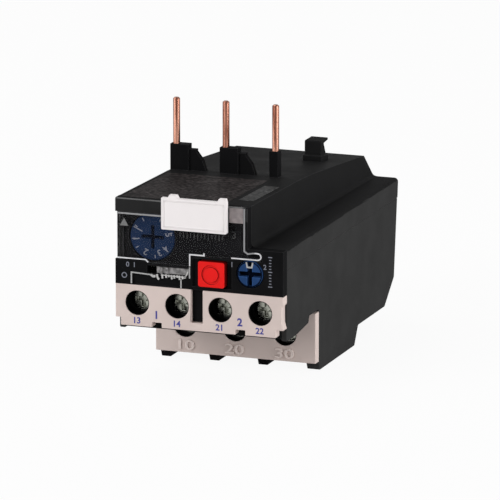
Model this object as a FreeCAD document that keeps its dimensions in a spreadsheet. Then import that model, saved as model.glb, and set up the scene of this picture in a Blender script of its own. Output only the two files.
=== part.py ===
"""Thermal overload relay for plugging under a contactor, in millimetres.

+Z is up, the operating face looks along -Y and the origin is the middle of
the base.  Depths are measured back from the front plane.
"""
import FreeCAD
import Part
import math
import Sketcher
import os

SIZES = {
    # whole object
    "body_width": 45.0,
    "body_depth": 89.0,
    "wall": 1.6,
    "front_thickness": 2.8,
    "parting_height": 32.0,
    "play": 0.3,
    "seat_gap": 0.1,
    "shaft_gap": 0.06,
    # side outline of the lower housing
    "skirt_front_height": 13.4,
    "skirt_low_height": 13.4,
    "skirt_low_depth": 10.0,
    "skirt_back_height": 16.1,
    "skirt_back_depth": 19.9,
    "skirt_step": 1.7,
    "foot_front_depth": 28.0,
    "foot_back_depth": 54.7,
    "heel_depth": 57.6,
    "heel_height": 4.8,
    "heel_back_depth": 78.7,
    "back_low_depth": 86.2,
    "back_low_height": 11.1,
    "back_lean": 0.5,
    "floor_height": 17.7,
    "cross_wall_depth": 12.6,
    "cross_wall_height": 22.8,
    # upper housing
    "ledge_height": 37.1,
    "block_right": 13.0,
    "top_front_height": 47.7,
    "top_mid_height": 46.6,
    "top_mid_depth": 38.0,
    "top_rear_height": 45.9,
    "top_rear_depth": 50.0,
    "top_back_height": 42.3,
    "ledge_blend": 1.3,
    "wall_foot_back": 15.7,
    "top_round": 1.0,
    # line pins and their bosses
    "pole_margin": 4.5,
    "pin_depth": 40.7,
    "pin_radius": 0.9,
    "pin_root_width": 1.3,
    "pin_root_length": 1.8,
    "pin_tip_height": 65.35,
    "pin_foot_rise": 1.2,
    "boss_thickness": 2.6,
    "boss_width": 4.95,
    "boss_height": 53.3,
    "web_thickness": 1.6,
    "web_step_height": 52.1,
    "web_step_reach": 5.6,
    "web_knee_height": 49.3,
    "web_knee_reach": 7.3,
    "web_toe_reach": 8.4,
    "post_width": 2.4,
    # pale cover over the control terminals
    "control_top": 25.5,
    "control_bottom": 14.8,
    "control_middle_x": -0.2,
    "control_inner": 5.8,
    "control_outer": 16.5,
    "control_screw_height": 20.8,
    "control_hole_radius": 3.2,
    "control_head_radius": 2.6,
    "control_shank_radius": 1.7,
    "washer_side": 6.4,
    "washer_height": 5.6,
    "slot_left": -2.2,
    "slot_right": 0.95,
    "slot_bottom": 16.9,
    "notch_width": 2.6,
    "notch_height": 1.3,
    "notch_offset": 11.2,
    "end_step": 2.0,
    "edge_nick": 0.5,
    # pale cover over the load terminals
    "load_cover_depth": 24.3,
    "load_cover_thickness": 2.6,
    "load_cover_left": -20.9,
    "load_cover_bottom": 2.45,
    "load_cover_top": 15.6,
    "load_hole_radius": 3.2,
    "load_screw_height": 9.7,
    "load_head_radius": 2.9,
    "load_screw_margin": 8.4,
    # load terminal chambers
    "partition_margin": 5.4,
    "partition_width": 2.6,
    "side_foot_width": 3.6,
    "block_top": 14.5,
    "chamber_top": 12.9,
    # front panel openings and controls
    "dial_x": -13.1,
    "dial_height": 37.8,
    "dial_radius": 6.0,
    "stop_left": 0.1,
    "stop_width": 7.05,
    "stop_bottom": 26.7,
    "stop_height": 6.6,
    "stop_proud": 1.2,
    "stop_travel": 2.0,
    "reset_x": 13.64,
    "reset_height": 30.8,
    "reset_radius": 3.4,
    "reset_proud": 0.4,
    "reset_travel": 2.0,
    "test_left": -11.5,
    "test_width": 8.85,
    "test_bottom": 28.95,
    "test_tall": 1.7,
    "test_travel": 2.2,
    "flange_depth": 3.1,
    "flange_thickness": 1.5,
    "frame_thickness": 1.8,
    # clear cover and tag
    "cover_thickness": 1.2,
    "cover_pocket": 1.4,
    "cover_edge_gap": 0.2,
    "cover_hinge_x": -21.2,
    "cover_hinge_depth": 1.0,
    "cover_right": 12.3,
    "cover_low_right": -2.7,
    "cover_top": 47.6,
    "cover_left_top": 44.0,
    "cover_left_bottom": 32.1,
    "cover_middle_bottom": 31.4,
    "cover_right_bottom": 34.3,
    "tab_top": 36.4,
    "tab_right": 16.7,
    "seal_radius": 0.6,
    "seal_slot": 3.0,
    "hinge_pin_radius": 0.5,
    "barrel_radius": 1.0,
    "tag_left": -9.6,
    "tag_width": 17.4,
    "tag_bottom": 40.8,
    "tag_height": 8.1,
    "tag_thickness": 1.4,
    "tag_bump": 0.9,
    # hook
    "hook_left": 2.3,
    "hook_width": 4.6,
    "hook_depth": 72.6,
    "hook_top": 49.1,
    "hook_reach": 5.3,
    "hook_neck": 2.1,
    "hook_lip": 0.6,
    "hook_base": 1.4,
    # trip mechanism
    "contact_travel": 1.2,
    "slide_travel": 1.5,
    "pivot_x": -3.0,
    "pivot_depth": 33.0,
    "bimetal_depth": 49.0,
    "bimetal_width": 5.0,
    "bimetal_thickness": 0.8,
    "ring_pitch": 2.1,
}


class Size:
    """A length that carries both its number and the sheet formula it comes from."""

    def __init__(self, number, text):
        self.number = number
        self.text = text

    def joined(self, sign, other, number):
        return Size(number, "(%s %s %s)" % (self.text, sign, other.text))

    def __add__(self, other):
        other = as_size(other)
        return self.joined("+", other, self.number + other.number)

    def __sub__(self, other):
        other = as_size(other)
        return self.joined("-", other, self.number - other.number)

    def __mul__(self, other):
        other = as_size(other)
        return self.joined("*", other, self.number * other.number)

    def __truediv__(self, other):
        other = as_size(other)
        return self.joined("/", other, self.number / other.number)

    def __radd__(self, other):
        return as_size(other) + self

    def __rsub__(self, other):
        return as_size(other) - self

    def __rmul__(self, other):
        return as_size(other) * self

    def __neg__(self):
        return as_size(0) - self


def as_size(value):
    """Return the value as a Size; a bare number becomes its own formula."""
    if isinstance(value, Size):
        return value
    return Size(float(value), "(%.6f)" % value)


class Measures:
    """The driving dimensions, each one cell of the document's sheet."""

    def __init__(self, doc):
        sheet = doc.addObject("Spreadsheet::Sheet", "Sizes")
        for row, (word, number) in enumerate(SIZES.items(), start=1):
            sheet.set("A%d" % row, word)
            sheet.set("B%d" % row, str(number))
            sheet.setAlias("B%d" % row, word)
            setattr(self, word, Size(number, "Sizes." + word))


doc = FreeCAD.newDocument("OverloadRelay")
m = Measures(doc)
doc.recompute()

# Places that several pieces share.
left = -m.body_width / 2
right = m.body_width / 2
front = -(m.body_depth + m.tag_thickness) / 2 + m.tag_thickness
inner_left = left + m.wall
inner_right = right - m.wall
frame_depth = m.cross_wall_depth
frame_back = frame_depth + m.frame_thickness
stem_back = frame_back - 0.4
POLES = (0, 1, 2)
pole_pitch = (m.body_width - m.pole_margin) / len(POLES)
partition_pitch = (m.body_width - m.partition_margin) / len(POLES)
pin_foot = m.parting_height + m.pin_foot_rise


def at_depth(depth):
    """Y of a place that lies this far behind the front plane."""
    return front + depth


def screw_x(pole):
    """X of a load terminal, counted from the left."""
    return right - m.load_screw_margin - (len(POLES) - 1 - pole) * pole_pitch


def pin_x(pole):
    """X of a line pin, counted from the left."""
    return left + m.boss_thickness / 2 + pole * pole_pitch


def partition_x(number):
    """Left face of a partition between the load terminals, counted from the left."""
    return right - m.side_foot_width - (len(POLES) - number) * partition_pitch


def control_centres():
    """X of the four control terminals, from left to right."""
    middle = m.control_middle_x
    return (middle - m.control_outer, middle - m.control_inner,
            middle + m.control_inner, middle + m.control_outer)


def top_height(depth):
    """Height of the sloping top surface behind the bosses."""
    fall = (m.top_rear_height - m.top_back_height) / (m.body_depth - m.top_rear_depth)
    return m.top_rear_height - fall * (depth - m.top_rear_depth)


def bind(thing, **sizes):
    """Bind properties of a document object to their formulas."""
    for name, size in sizes.items():
        thing.setExpression(name.replace("__", "."), as_size(size).text)


def place(thing, x, y, z):
    """Bind the position of a document object."""
    bind(thing, Placement__Base__x=x, Placement__Base__y=y, Placement__Base__z=z)


TURNS = {
    "X": FreeCAD.Rotation(FreeCAD.Vector(0, 1, 0), 90),
    "Y": FreeCAD.Rotation(FreeCAD.Vector(1, 0, 0), -90),
    "Z": FreeCAD.Rotation(),
}


def box(label, x, y, z, width, depth, height):
    """Block from its low corner, with its extent along X, Y and Z."""
    block = doc.addObject("Part::Box", label)
    bind(block, Length=width, Width=depth, Height=height)
    place(block, x, y, z)
    return block


def rod(label, axis, x, y, z, radius, length):
    """Cylinder from the middle of its low end along an axis."""
    cylinder = doc.addObject("Part::Cylinder", label)
    bind(cylinder, Radius=radius, Height=length)
    cylinder.Placement = FreeCAD.Placement(FreeCAD.Vector(), TURNS[axis])
    place(cylinder, x, y, z)
    return cylinder


def join(label, *pieces):
    """One solid from pieces that meet."""
    fusion = doc.addObject("Part::MultiFuse", label)
    fusion.Shapes = list(pieces)
    fusion.Refine = True
    return fusion


def group(label, pieces):
    """Separate solids that share one sub-part."""
    compound = doc.addObject("Part::Compound", label)
    compound.Links = list(pieces)
    return compound


def cut(label, base, *tools):
    """The base without its tools."""
    tool = tools[0]
    if len(tools) > 1:
        tool = doc.addObject("Part::MultiFuse", label + "_tools")
        tool.Shapes = list(tools)
    result = doc.addObject("Part::Cut", label)
    result.Base = base
    result.Tool = tool
    result.Refine = True
    return result


def rectangle(low_a, low_b, high_a, high_b):
    """Corners of an upright rectangle in a sketch."""
    return [(low_a, low_b), (high_a, low_b), (high_a, high_b), (low_a, high_b)]


# The side of its own plane that each sketch faces, and the sign of a pad there.
PLANES = {"XY": ("XY_Plane", 1), "XZ": ("XZ_Plane", -1), "YZ": ("YZ_Plane", 1)}


class Moulding:
    """A PartDesign body that is built up feature by feature."""

    def __init__(self, label):
        self.body = doc.addObject("PartDesign::Body", label)
        self.label = label
        self.count = 0

    def name(self, kind):
        self.count += 1
        return "%s_%s%d" % (self.label, kind, self.count)

    def sketch(self, plane, level, outlines=(), circles=()):
        """Sketch of closed outlines and circles at a level along the plane's axis."""
        sketch = self.body.newObject("Sketcher::SketchObject", self.name("sketch"))
        role, sign = PLANES[plane]
        origin = [item for item in self.body.Origin.OriginFeatures if item.Role == role]
        sketch.AttachmentSupport = [(origin[0], "")]
        sketch.MapMode = "FlatFace"
        bind(sketch, AttachmentOffset__Base__z=sign * as_size(level))
        for corners in outlines:
            draw_outline(sketch, corners)
        for across, up, radius in circles:
            draw_circle(sketch, across, up, radius)
        return sketch

    def add(self, plane, start, length, outlines=(), circles=()):
        """Pad that fills start to start + length along the plane's axis."""
        level = start + length if plane == "XZ" else start
        pad = self.body.newObject("PartDesign::Pad", self.name("pad"))
        pad.Profile = self.sketch(plane, level, outlines, circles)
        bind(pad, Length=length)
        self.body.Tip = pad
        doc.recompute()
        return pad

    def remove(self, plane, start, length, outlines=(), circles=()):
        """Pocket that clears start to start + length along the plane's axis."""
        level = start if plane == "XZ" else start + length
        before = self.body.Shape.Volume
        pocket = self.body.newObject("PartDesign::Pocket", self.name("pocket"))
        pocket.Profile = self.sketch(plane, level, outlines, circles)
        bind(pocket, Length=length)
        self.body.Tip = pocket
        doc.recompute()
        if not self.body.Shape.Volume < before:
            raise RuntimeError("a pocket cuts nothing: " + pocket.Name)
        return pocket

    def loft(self, kind, sections, plane="XZ"):
        """Loft through sections, each a level and its corners."""
        loft = self.body.newObject("PartDesign::" + kind, self.name("loft"))
        sketches = [self.sketch(plane, level, [corners]) for level, corners in sections]
        loft.Profile = sketches[0]
        loft.Sections = sketches[1:]
        loft.Ruled = True
        self.body.Tip = loft
        doc.recompute()
        return loft

    def dress(self, kind, size, chosen):
        """Fillet or chamfer the edges that the chooser picks."""
        names = ["Edge%d" % (place_in + 1)
                 for place_in, edge in enumerate(self.body.Shape.Edges) if chosen(edge)]
        if not names:
            raise RuntimeError("no edge to dress on " + self.label)
        carrier = self.body.Tip
        feature = self.body.newObject("PartDesign::" + kind, self.name(kind.lower()))
        feature.Base = (carrier, names)
        bind(feature, **{"Radius" if kind == "Fillet" else "Size": size})
        self.body.Tip = feature
        doc.recompute()
        return feature


def draw_outline(sketch, corners):
    """Closed outline through corners that are tied to their formulas."""
    corners = [(as_size(across), as_size(up)) for across, up in corners]
    count = len(corners)
    first = sketch.GeometryCount
    points = [FreeCAD.Vector(across.number, up.number, 0) for across, up in corners]
    for number in range(count):
        sketch.addGeometry(Part.LineSegment(points[number], points[(number + 1) % count]))
    for number in range(count):
        following = first + (number + 1) % count
        sketch.addConstraint(Sketcher.Constraint("Coincident", first + number, 2, following, 1))
    for number, (across, up) in enumerate(corners):
        for kind, size in (("DistanceX", across), ("DistanceY", up)):
            tie = sketch.addConstraint(
                Sketcher.Constraint(kind, -1, 1, first + number, 1, size.number))
            sketch.setExpression("Constraints[%d]" % tie, size.text)


def draw_circle(sketch, across, up, radius):
    """Circle that is tied to its formulas."""
    across, up, radius = as_size(across), as_size(up), as_size(radius)
    centre = FreeCAD.Vector(across.number, up.number, 0)
    circle = sketch.addGeometry(Part.Circle(centre, FreeCAD.Vector(0, 0, 1), radius.number))
    ties = (("DistanceX", (-1, 1, circle, 3), across), ("DistanceY", (-1, 1, circle, 3), up),
            ("Radius", (circle,), radius))
    for kind, points, size in ties:
        tie = sketch.addConstraint(Sketcher.Constraint(kind, *points, size.number))
        sketch.setExpression("Constraints[%d]" % tie, size.text)


def runs_along(edge, axis):
    """True for a straight edge along the axis number 0, 1 or 2."""
    if edge.Curve.TypeId != "Part::GeomLine":
        return False
    return abs(edge.tangentAt(edge.FirstParameter)[axis]) > 0.99


def near(value, size):
    """True where a measured place is at a size."""
    return abs(value - as_size(size).number) < 0.02


# ---------------------------------------------------------------- casing

def side_outline():
    """Side outline of the lower housing, from the front of the skirt round to the top."""
    outline = [(m.front_thickness, m.skirt_front_height), (m.skirt_low_depth, m.skirt_low_height),
               (m.skirt_back_depth - 0.7, m.skirt_back_height - m.skirt_step),
               (m.skirt_back_depth, m.skirt_back_height), (load_cover_back, m.skirt_back_height),
               (load_cover_back, m.load_cover_bottom), (m.foot_front_depth, 0),
               (m.foot_back_depth, 0), (m.heel_depth, m.heel_height),
               (m.heel_back_depth, m.heel_height), (m.back_low_depth, m.back_low_height),
               (m.body_depth - m.back_lean, m.parting_height), (m.front_thickness, m.parting_height)]
    return [(at_depth(depth), height) for depth, height in outline]


load_cover_back = m.load_cover_depth + m.load_cover_thickness


def lower_housing():
    """Tub that carries the terminals, the heaters and the trip mechanism."""
    tub = Moulding("lower_housing")
    tub.add("YZ", left, m.body_width, [side_outline()])
    below = m.block_top + 1
    tub.remove("XY", -1, below, [rectangle(
        left - 1, at_depth(load_cover_back - 1), partition_x(0), at_depth(m.body_depth + 1))])
    tub.remove("XY", -1, below, [rectangle(
        left, at_depth(load_cover_back - 1), right - m.side_foot_width, at_depth(m.heel_depth))])
    tub.remove("XY", m.floor_height, m.parting_height - m.floor_height + 1, [rectangle(
        inner_left, at_depth(m.cross_wall_depth + m.wall),
        inner_right, at_depth(m.back_low_depth - m.wall))])
    tub.remove("XY", m.cross_wall_height, m.parting_height - m.cross_wall_height + 1, [rectangle(
        inner_left, at_depth(m.cross_wall_depth - 1),
        inner_right, at_depth(m.cross_wall_depth + m.wall + 1))])
    tub.remove("XY", 0, m.parting_height + 1, [rectangle(
        inner_left, at_depth(0), inner_right, at_depth(m.cross_wall_depth))])
    tub.remove("XY", m.heel_height + m.wall, m.floor_height - m.heel_height, [rectangle(
        partition_x(0) + m.wall, at_depth(m.heel_depth + m.wall),
        inner_right, at_depth(m.heel_back_depth))])
    slots = [rectangle(screw_x(pole) - bar_half_width - m.seat_gap, at_depth(bar_depth - m.seat_gap),
                       screw_x(pole) + bar_half_width + m.seat_gap,
                       at_depth(bar_depth + bar_thickness + m.seat_gap)) for pole in POLES]
    tub.remove("XY", m.block_top - 1, m.floor_height - m.block_top + 2, slots)
    rib_top = differential_height - m.play
    tub.add("XY", rib_top - m.wall, m.wall, [
        rectangle(inner_left - m.wall / 2, at_depth(slide_front),
                  inner_left + rib_reach, at_depth(slide_front + slide_depth)),
        rectangle(inner_right - rib_reach, at_depth(slide_front),
                  inner_right + m.wall / 2, at_depth(slide_front + slide_depth))])
    tub.dress("Fillet", m.top_round, lambda edge: runs_along(edge, 0) and near(
        edge.CenterOfMass.y, at_depth(m.back_low_depth)))
    return tub.body


# How far the raised block is drawn past its roof before the roof is cut.
OVER_HEIGHT = 1.6


def block_wall(foot, roof_x, roof_height):
    """Side wall of the raised block, from its blend on the ledge to above the roof."""
    steps = 4
    lean = (roof_x - foot) * OVER_HEIGHT
    rise = (roof_height - m.ledge_height) * OVER_HEIGHT
    wall = []
    for number in range(steps + 1):
        share = number / steps
        low, high = (1 - share) ** 2, 0.08 * share ** 2
        wall.append((foot + m.ledge_blend * low + lean * high, m.ledge_height + rise * high))
    return wall + [(foot + lean, m.ledge_height + rise), (left, m.ledge_height + rise)]


def upper_housing():
    """Lid with the raised block, its ledge and the bosses of the line pins."""
    lid = Moulding("upper_housing")
    high = m.ledge_height + (m.top_front_height - m.ledge_height) * OVER_HEIGHT
    face = [(left, m.parting_height), (right, m.parting_height), (right, m.ledge_height)]
    lid.loft("AdditiveLoft", [
        (at_depth(m.front_thickness),
         face + block_wall(m.block_right, m.block_right, m.top_front_height)),
        (at_depth(m.body_depth),
         face + block_wall(m.wall_foot_back, m.block_right, m.top_back_height))])
    roof = [(0, m.top_front_height), (m.top_mid_depth, m.top_mid_height),
            (m.top_rear_depth, m.top_rear_height), (m.body_depth + 1, top_height(m.body_depth + 1)),
            (m.body_depth + 1, high + 1), (0, high + 1)]
    lid.remove("YZ", left - 1, m.body_width + 2,
               [[(at_depth(depth), height) for depth, height in roof]])
    lid.remove("YZ", left - 1, m.body_width + 2, [[
        (at_depth(m.body_depth - m.back_lean), m.parting_height),
        (at_depth(m.body_depth + 1), m.parting_height),
        (at_depth(m.body_depth + 1), m.ledge_height), (at_depth(m.body_depth), m.ledge_height)]])
    above = m.ledge_height.number + 2 * m.ledge_blend.number
    lid.dress("Fillet", m.top_round, lambda edge: abs(edge.tangentAt(edge.FirstParameter).y) > 0.9 and (
        (near(edge.CenterOfMass.x, right) and near(edge.CenterOfMass.z, m.ledge_height))
        or (edge.CenterOfMass.z > above and edge.Curve.TypeId == "Part::GeomLine")))
    hollow_right = m.block_right - m.wall
    roof_front = m.top_front_height - m.wall
    roof_back = m.top_back_height - m.wall
    under_ledge = m.ledge_height - m.wall
    low = m.parting_height - 1
    lid.loft("SubtractiveLoft", [
        (at_depth(m.front_thickness - 1), [
            (inner_left, low), (inner_right, low), (inner_right, under_ledge),
            (hollow_right, under_ledge), (hollow_right, roof_front), (inner_left, roof_front)]),
        (at_depth(m.body_depth - m.wall - m.back_lean), [
            (inner_left, low), (inner_right, low), (inner_right, under_ledge),
            (hollow_right, under_ledge), (hollow_right, roof_back),
            (inner_left, roof_back)])])
    root = m.top_rear_height - m.wall
    half = m.boss_thickness / 2
    start = at_depth(m.pin_depth) - half
    web_start = at_depth(m.pin_depth) - m.web_thickness / 2
    for pole in POLES[:-1]:
        x = pin_x(pole)
        lid.add("XZ", start, m.boss_thickness, [
            rectangle(x - half, root, x - half + m.boss_width, m.boss_height)])
        lid.add("XZ", web_start, m.web_thickness, [[
            (x, root), (x + m.web_toe_reach, root), (x + m.web_toe_reach, m.top_rear_height),
            (x + m.web_knee_reach, m.web_knee_height),
            (x + m.web_step_reach, m.web_step_height - 2 * m.play),
            (x + m.web_step_reach, m.web_step_height), (x, m.web_step_height)]])
    post = pin_x(POLES[-1]) - half
    lid.add("XZ", start, m.boss_thickness, [
        rectangle(post, root, post + m.post_width, m.boss_height)])
    reach = m.pin_root_width / 2 + m.seat_gap / 2
    depth_reach = m.pin_root_length / 2 + m.seat_gap / 2
    lid.remove("XY", pin_foot - m.seat_gap, m.boss_height, [
        rectangle(pin_x(pole) - reach, at_depth(m.pin_depth) - depth_reach,
                  pin_x(pole) + reach, at_depth(m.pin_depth) + depth_reach) for pole in POLES])
    return lid.body


def front_panel():
    """Black face that holds the controls and the pocket of the clear cover."""
    panel = Moulding("front_panel")
    thickness = m.front_thickness
    panel.add("XZ", at_depth(0), thickness, [[
        (left, m.control_top), (right, m.control_top), (right, m.ledge_height),
        (m.block_right, m.ledge_height), (m.block_right, m.top_front_height),
        (left, m.top_front_height)]])
    gap = m.cover_edge_gap
    panel.remove("XZ", at_depth(0), m.cover_pocket, [[
        (left - 1, m.cover_left_bottom - gap),
        (test_slot_left - m.play, m.cover_left_bottom - gap),
        (test_slot_left + m.play, m.cover_middle_bottom - gap),
        (m.cover_low_right + gap, m.cover_middle_bottom - gap),
        (m.cover_low_right + gap, m.cover_right_bottom - gap),
        (m.tab_right + gap, m.cover_right_bottom - gap),
        (m.tab_right + gap, m.tab_top + gap), (m.cover_right + gap, m.tab_top + gap),
        (m.cover_right + gap, m.top_front_height + 1),
        (m.tag_left - m.play - gap, m.top_front_height + 1),
        (m.tag_left - m.play - gap, m.cover_left_top + gap), (left - 1, m.cover_left_top + gap)]])
    panel.remove("XZ", at_depth(0), thickness, [
        rectangle(m.stop_left - m.play, m.stop_bottom - m.play,
                  m.stop_left + m.stop_width + m.play, m.stop_bottom + m.stop_height + m.play),
        rectangle(test_slot_left, m.test_bottom - gap,
                  m.test_left + m.test_width + gap, m.test_bottom + m.test_tall + gap)])
    panel.remove("XZ", at_depth(0), thickness, [], [
        (m.dial_x, m.dial_height, m.dial_radius + m.play),
        (m.reset_x, m.reset_height, m.reset_radius + m.play)])
    recess = 2 * m.play
    panel.remove("XZ", at_depth(0), recess, [
        rectangle(m.stop_left - stop_border, m.stop_bottom - m.play,
                  m.stop_left + m.stop_width + m.wall, m.stop_bottom + m.stop_height + m.play)])
    panel.remove("XZ", at_depth(0), recess, [
        rectangle(window_left, m.control_top + gap, window_right, m.test_bottom - 2 * gap)])
    panel.add("XZ", at_depth(thickness), 2 * m.stop_proud, [rectangle(
        spring_seat - m.wall, m.test_bottom, spring_seat, m.test_bottom + m.test_tall)])
    groove_low = m.cover_left_bottom - gap
    panel.remove("XY", groove_low, m.cover_left_top + gap - groove_low, [], [
        (m.cover_hinge_x, at_depth(m.cover_hinge_depth), m.barrel_radius + m.play)])
    panel.remove("XY", hinge_pin_low, hinge_pin_length, [], [
        (m.cover_hinge_x, at_depth(m.cover_hinge_depth), m.hinge_pin_radius)])
    panel.dress("Chamfer", m.play, lambda edge: runs_along(edge, 0) and near(
        edge.CenterOfMass.z, m.top_front_height) and near(edge.CenterOfMass.y, front))
    return panel.body


test_slot_left = m.test_left - m.test_travel - m.play
stop_border = 1.9
test_spring_length = 3.8
spring_seat = m.test_left - m.play - test_spring_length - 0.2
window_left = m.test_left - 6.6
window_right = m.test_left + 6.5
hinge_pin_low = m.cover_left_bottom - 1.5
hinge_pin_length = m.cover_left_top - m.cover_left_bottom + 3


def control_terminal_cover():
    """Pale strip with a screwdriver hole over each control terminal."""
    strip = Moulding("control_terminal_cover")
    low = m.control_bottom
    notch_top = low + m.notch_height
    left_notch = m.control_middle_x - m.notch_offset
    right_notch = m.control_middle_x + m.notch_offset
    half = m.notch_width / 2
    step = m.end_step
    nick = right - m.edge_nick
    strip.add("XZ", at_depth(0), m.front_thickness, [[
        (left, low + step), (left + step * 0.7, low + step), (left + step * 0.7, low),
        (left_notch - half, low), (left_notch - half, notch_top), (left_notch + half, notch_top),
        (left_notch + half, low), (right_notch - half, low), (right_notch - half, notch_top),
        (right_notch + half, notch_top), (right_notch + half, low), (right - step, low),
        (right - step, low + step), (right, low + step), (nick, m.control_screw_height - step),
        (nick, m.control_screw_height + step), (right, m.control_screw_height + step * 1.3),
        (right, m.control_top), (m.slot_right, m.control_top), (m.slot_right, m.slot_bottom),
        (m.slot_left, m.slot_bottom), (m.slot_left, m.control_top), (left, m.control_top)]])
    strip.remove("XZ", at_depth(0), m.front_thickness, [], [
        (x, m.control_screw_height, m.control_hole_radius) for x in control_centres()])
    return strip.body


def load_terminal_cover():
    """Pale strip with a screwdriver hole over each load terminal."""
    strip = Moulding("load_terminal_cover")
    strip.add("XZ", at_depth(m.load_cover_depth), m.load_cover_thickness, [rectangle(
        m.load_cover_left, m.load_cover_bottom, right, m.load_cover_top)])
    strip.remove("XZ", at_depth(m.load_cover_depth), m.load_cover_thickness, [], [
        (screw_x(pole), m.load_screw_height, m.load_hole_radius) for pole in POLES])
    return strip.body


def control_terminal_block():
    """Black block behind the strip, with an open wire pocket for each control terminal."""
    block = Moulding("control_terminal_block")
    start = at_depth(m.front_thickness)
    low = m.control_bottom - 0.9
    top = m.control_top - 2 * m.seat_gap
    length = m.cross_wall_depth - m.front_thickness
    block.add("XZ", start, length, [rectangle(
        inner_left + m.seat_gap, low, inner_right - m.seat_gap, top)])
    block.remove("XZ", start + m.wall, length, [
        rectangle(x - pocket_half, low - 1, x + pocket_half, pocket_top)
        for x in control_centres()])
    block.remove("XZ", start, m.wall + 1, [], [
        (x, m.control_screw_height, m.control_hole_radius) for x in control_centres()])
    block.add("XZ", start - m.wall, m.wall, [rectangle(
        m.slot_left + m.seat_gap, m.slot_bottom + m.seat_gap, m.slot_right - m.seat_gap, top)])
    return block.body


pocket_half = 3.7
pocket_top = m.cross_wall_height + 1.2


def load_terminal_block():
    """Comb of partitions that makes a chamber for each load terminal."""
    comb = Moulding("load_terminal_block")
    start = load_cover_back
    end = m.foot_back_depth
    comb.add("YZ", partition_x(0), right - m.side_foot_width - partition_x(0), [[
        (at_depth(start), m.load_cover_bottom), (at_depth(m.foot_front_depth), 0),
        (at_depth(end), 0), (at_depth(end), m.block_top), (at_depth(start), m.block_top)]])
    comb.remove("XZ", at_depth(start), end - m.wall - start, [
        rectangle(partition_x(pole) + m.partition_width, -1, partition_x(pole + 1), m.chamber_top)
        for pole in POLES])
    comb.remove("XY", m.chamber_top - 1, m.block_top - m.chamber_top + 2, [
        rectangle(screw_x(pole) - bar_half_width - m.seat_gap, at_depth(bar_depth - m.seat_gap),
                  screw_x(pole) + bar_half_width + m.seat_gap,
                  at_depth(bar_depth + bar_thickness + m.seat_gap)) for pole in POLES])
    return comb.body


def mounting_hook():
    """Hook that hangs the relay on the contactor above it."""
    hook = Moulding("mounting_hook")
    start = m.hook_depth
    foot = start + 2 * m.hook_neck
    top = m.hook_top
    outline = [
        (start, top_height(start)), (foot, top_height(foot)),
        (start + 1.8 * m.hook_neck, top - 4), (start + m.hook_neck, top - m.hook_lip - m.play),
        (start + m.hook_reach, top - m.hook_lip), (start + m.hook_reach, top),
        (start + m.play, top), (start, top - m.play)]
    hook.add("YZ", m.hook_left, m.hook_width,
             [[(at_depth(depth), height) for depth, height in outline]])
    rim = m.hook_lip
    base = [(start - rim, 0), (foot + rim, 0), (foot + rim, m.hook_base), (start - rim, m.hook_base)]
    hook.add("YZ", m.hook_left - rim / 2, m.hook_width + rim,
             [[(at_depth(depth), top_height(depth) + rise) for depth, rise in base]])
    return hook.body


# ---------------------------------------------------------------- clear cover

def clear_cover():
    """Clear sealing cover with its hinge barrel and seal tab."""
    cover = Moulding("clear_cover")
    cover.add("XZ", at_depth(0), m.cover_thickness, [[
        (m.cover_hinge_x, m.cover_left_bottom), (test_slot_left - m.play, m.cover_left_bottom),
        (test_slot_left + m.play, m.cover_middle_bottom), (m.cover_low_right, m.cover_middle_bottom),
        (m.cover_low_right, m.cover_right_bottom), (m.tab_right, m.cover_right_bottom),
        (m.tab_right, m.tab_top), (m.cover_right, m.tab_top), (m.cover_right, m.cover_top),
        (m.tag_left - m.play, m.cover_top), (m.tag_left - m.play, m.cover_left_top),
        (m.cover_hinge_x, m.cover_left_top)]])
    tab_half = (m.tab_top - m.cover_right_bottom) / 2
    cover.dress("Fillet", tab_half * 0.9, lambda edge: runs_along(edge, 1) and near(
        edge.CenterOfMass.x, m.tab_right))
    seal_x = m.tab_right - tab_half
    seal_z = m.cover_right_bottom + tab_half
    cover.remove("XZ", at_depth(0), m.cover_thickness, [], [(seal_x, seal_z, m.seal_radius)])
    cover.remove("XZ", at_depth(0), m.cover_thickness, [rectangle(
        seal_x - m.seal_slot, seal_z - m.seal_radius, seal_x, seal_z + m.seal_radius)])
    barrel_low = m.cover_left_bottom + m.play
    barrel_length = m.cover_left_top - m.cover_left_bottom - 2 * m.play
    cover.add("XY", barrel_low, barrel_length, [], [
        (m.cover_hinge_x, at_depth(m.cover_hinge_depth), m.barrel_radius)])
    cover.remove("XY", barrel_low - 1, barrel_length + 2, [], [
        (m.cover_hinge_x, at_depth(m.cover_hinge_depth), m.hinge_pin_radius + m.shaft_gap)])
    cover.remove("XZ", at_depth(0), m.cover_thickness, [], [
        (x, stud_height, stud_radius + m.seat_gap / 2) for x in stud_places()])
    return cover.body


stud_radius = 0.8
stud_height = m.tag_bottom + m.tag_height / 2


def stud_places():
    """X of the two studs that hold the tag on the cover."""
    inset = m.tag_width / 4
    return (m.tag_left + inset, m.tag_left + m.tag_width - inset)


def marker_tag():
    """White tag on the cover, with two bumps on its top edge and two studs behind."""
    tag = Moulding("marker_tag")
    high = m.tag_bottom + m.tag_height
    bump = m.tag_bump
    tag_right = m.tag_left + m.tag_width
    tag.add("XZ", at_depth(0) - m.tag_thickness, m.tag_thickness, [[
        (m.tag_left, m.tag_bottom), (tag_right, m.tag_bottom), (tag_right, high),
        (tag_right - bump * 0.3, high + bump), (tag_right - bump * 2.2, high + bump),
        (tag_right - bump * 2.7, high), (m.tag_left + bump * 5, high),
        (m.tag_left + bump * 4.5, high + bump), (m.tag_left + bump * 2.4, high + bump),
        (m.tag_left + bump * 1.9, high), (m.tag_left, high)]])
    tag.add("XZ", at_depth(0), m.cover_thickness, [], [
        (x, stud_height, stud_radius) for x in stud_places()])
    tag.dress("Fillet", m.play, lambda edge: runs_along(edge, 1) and near(
        edge.CenterOfMass.z, m.tag_bottom))
    return tag.body


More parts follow.
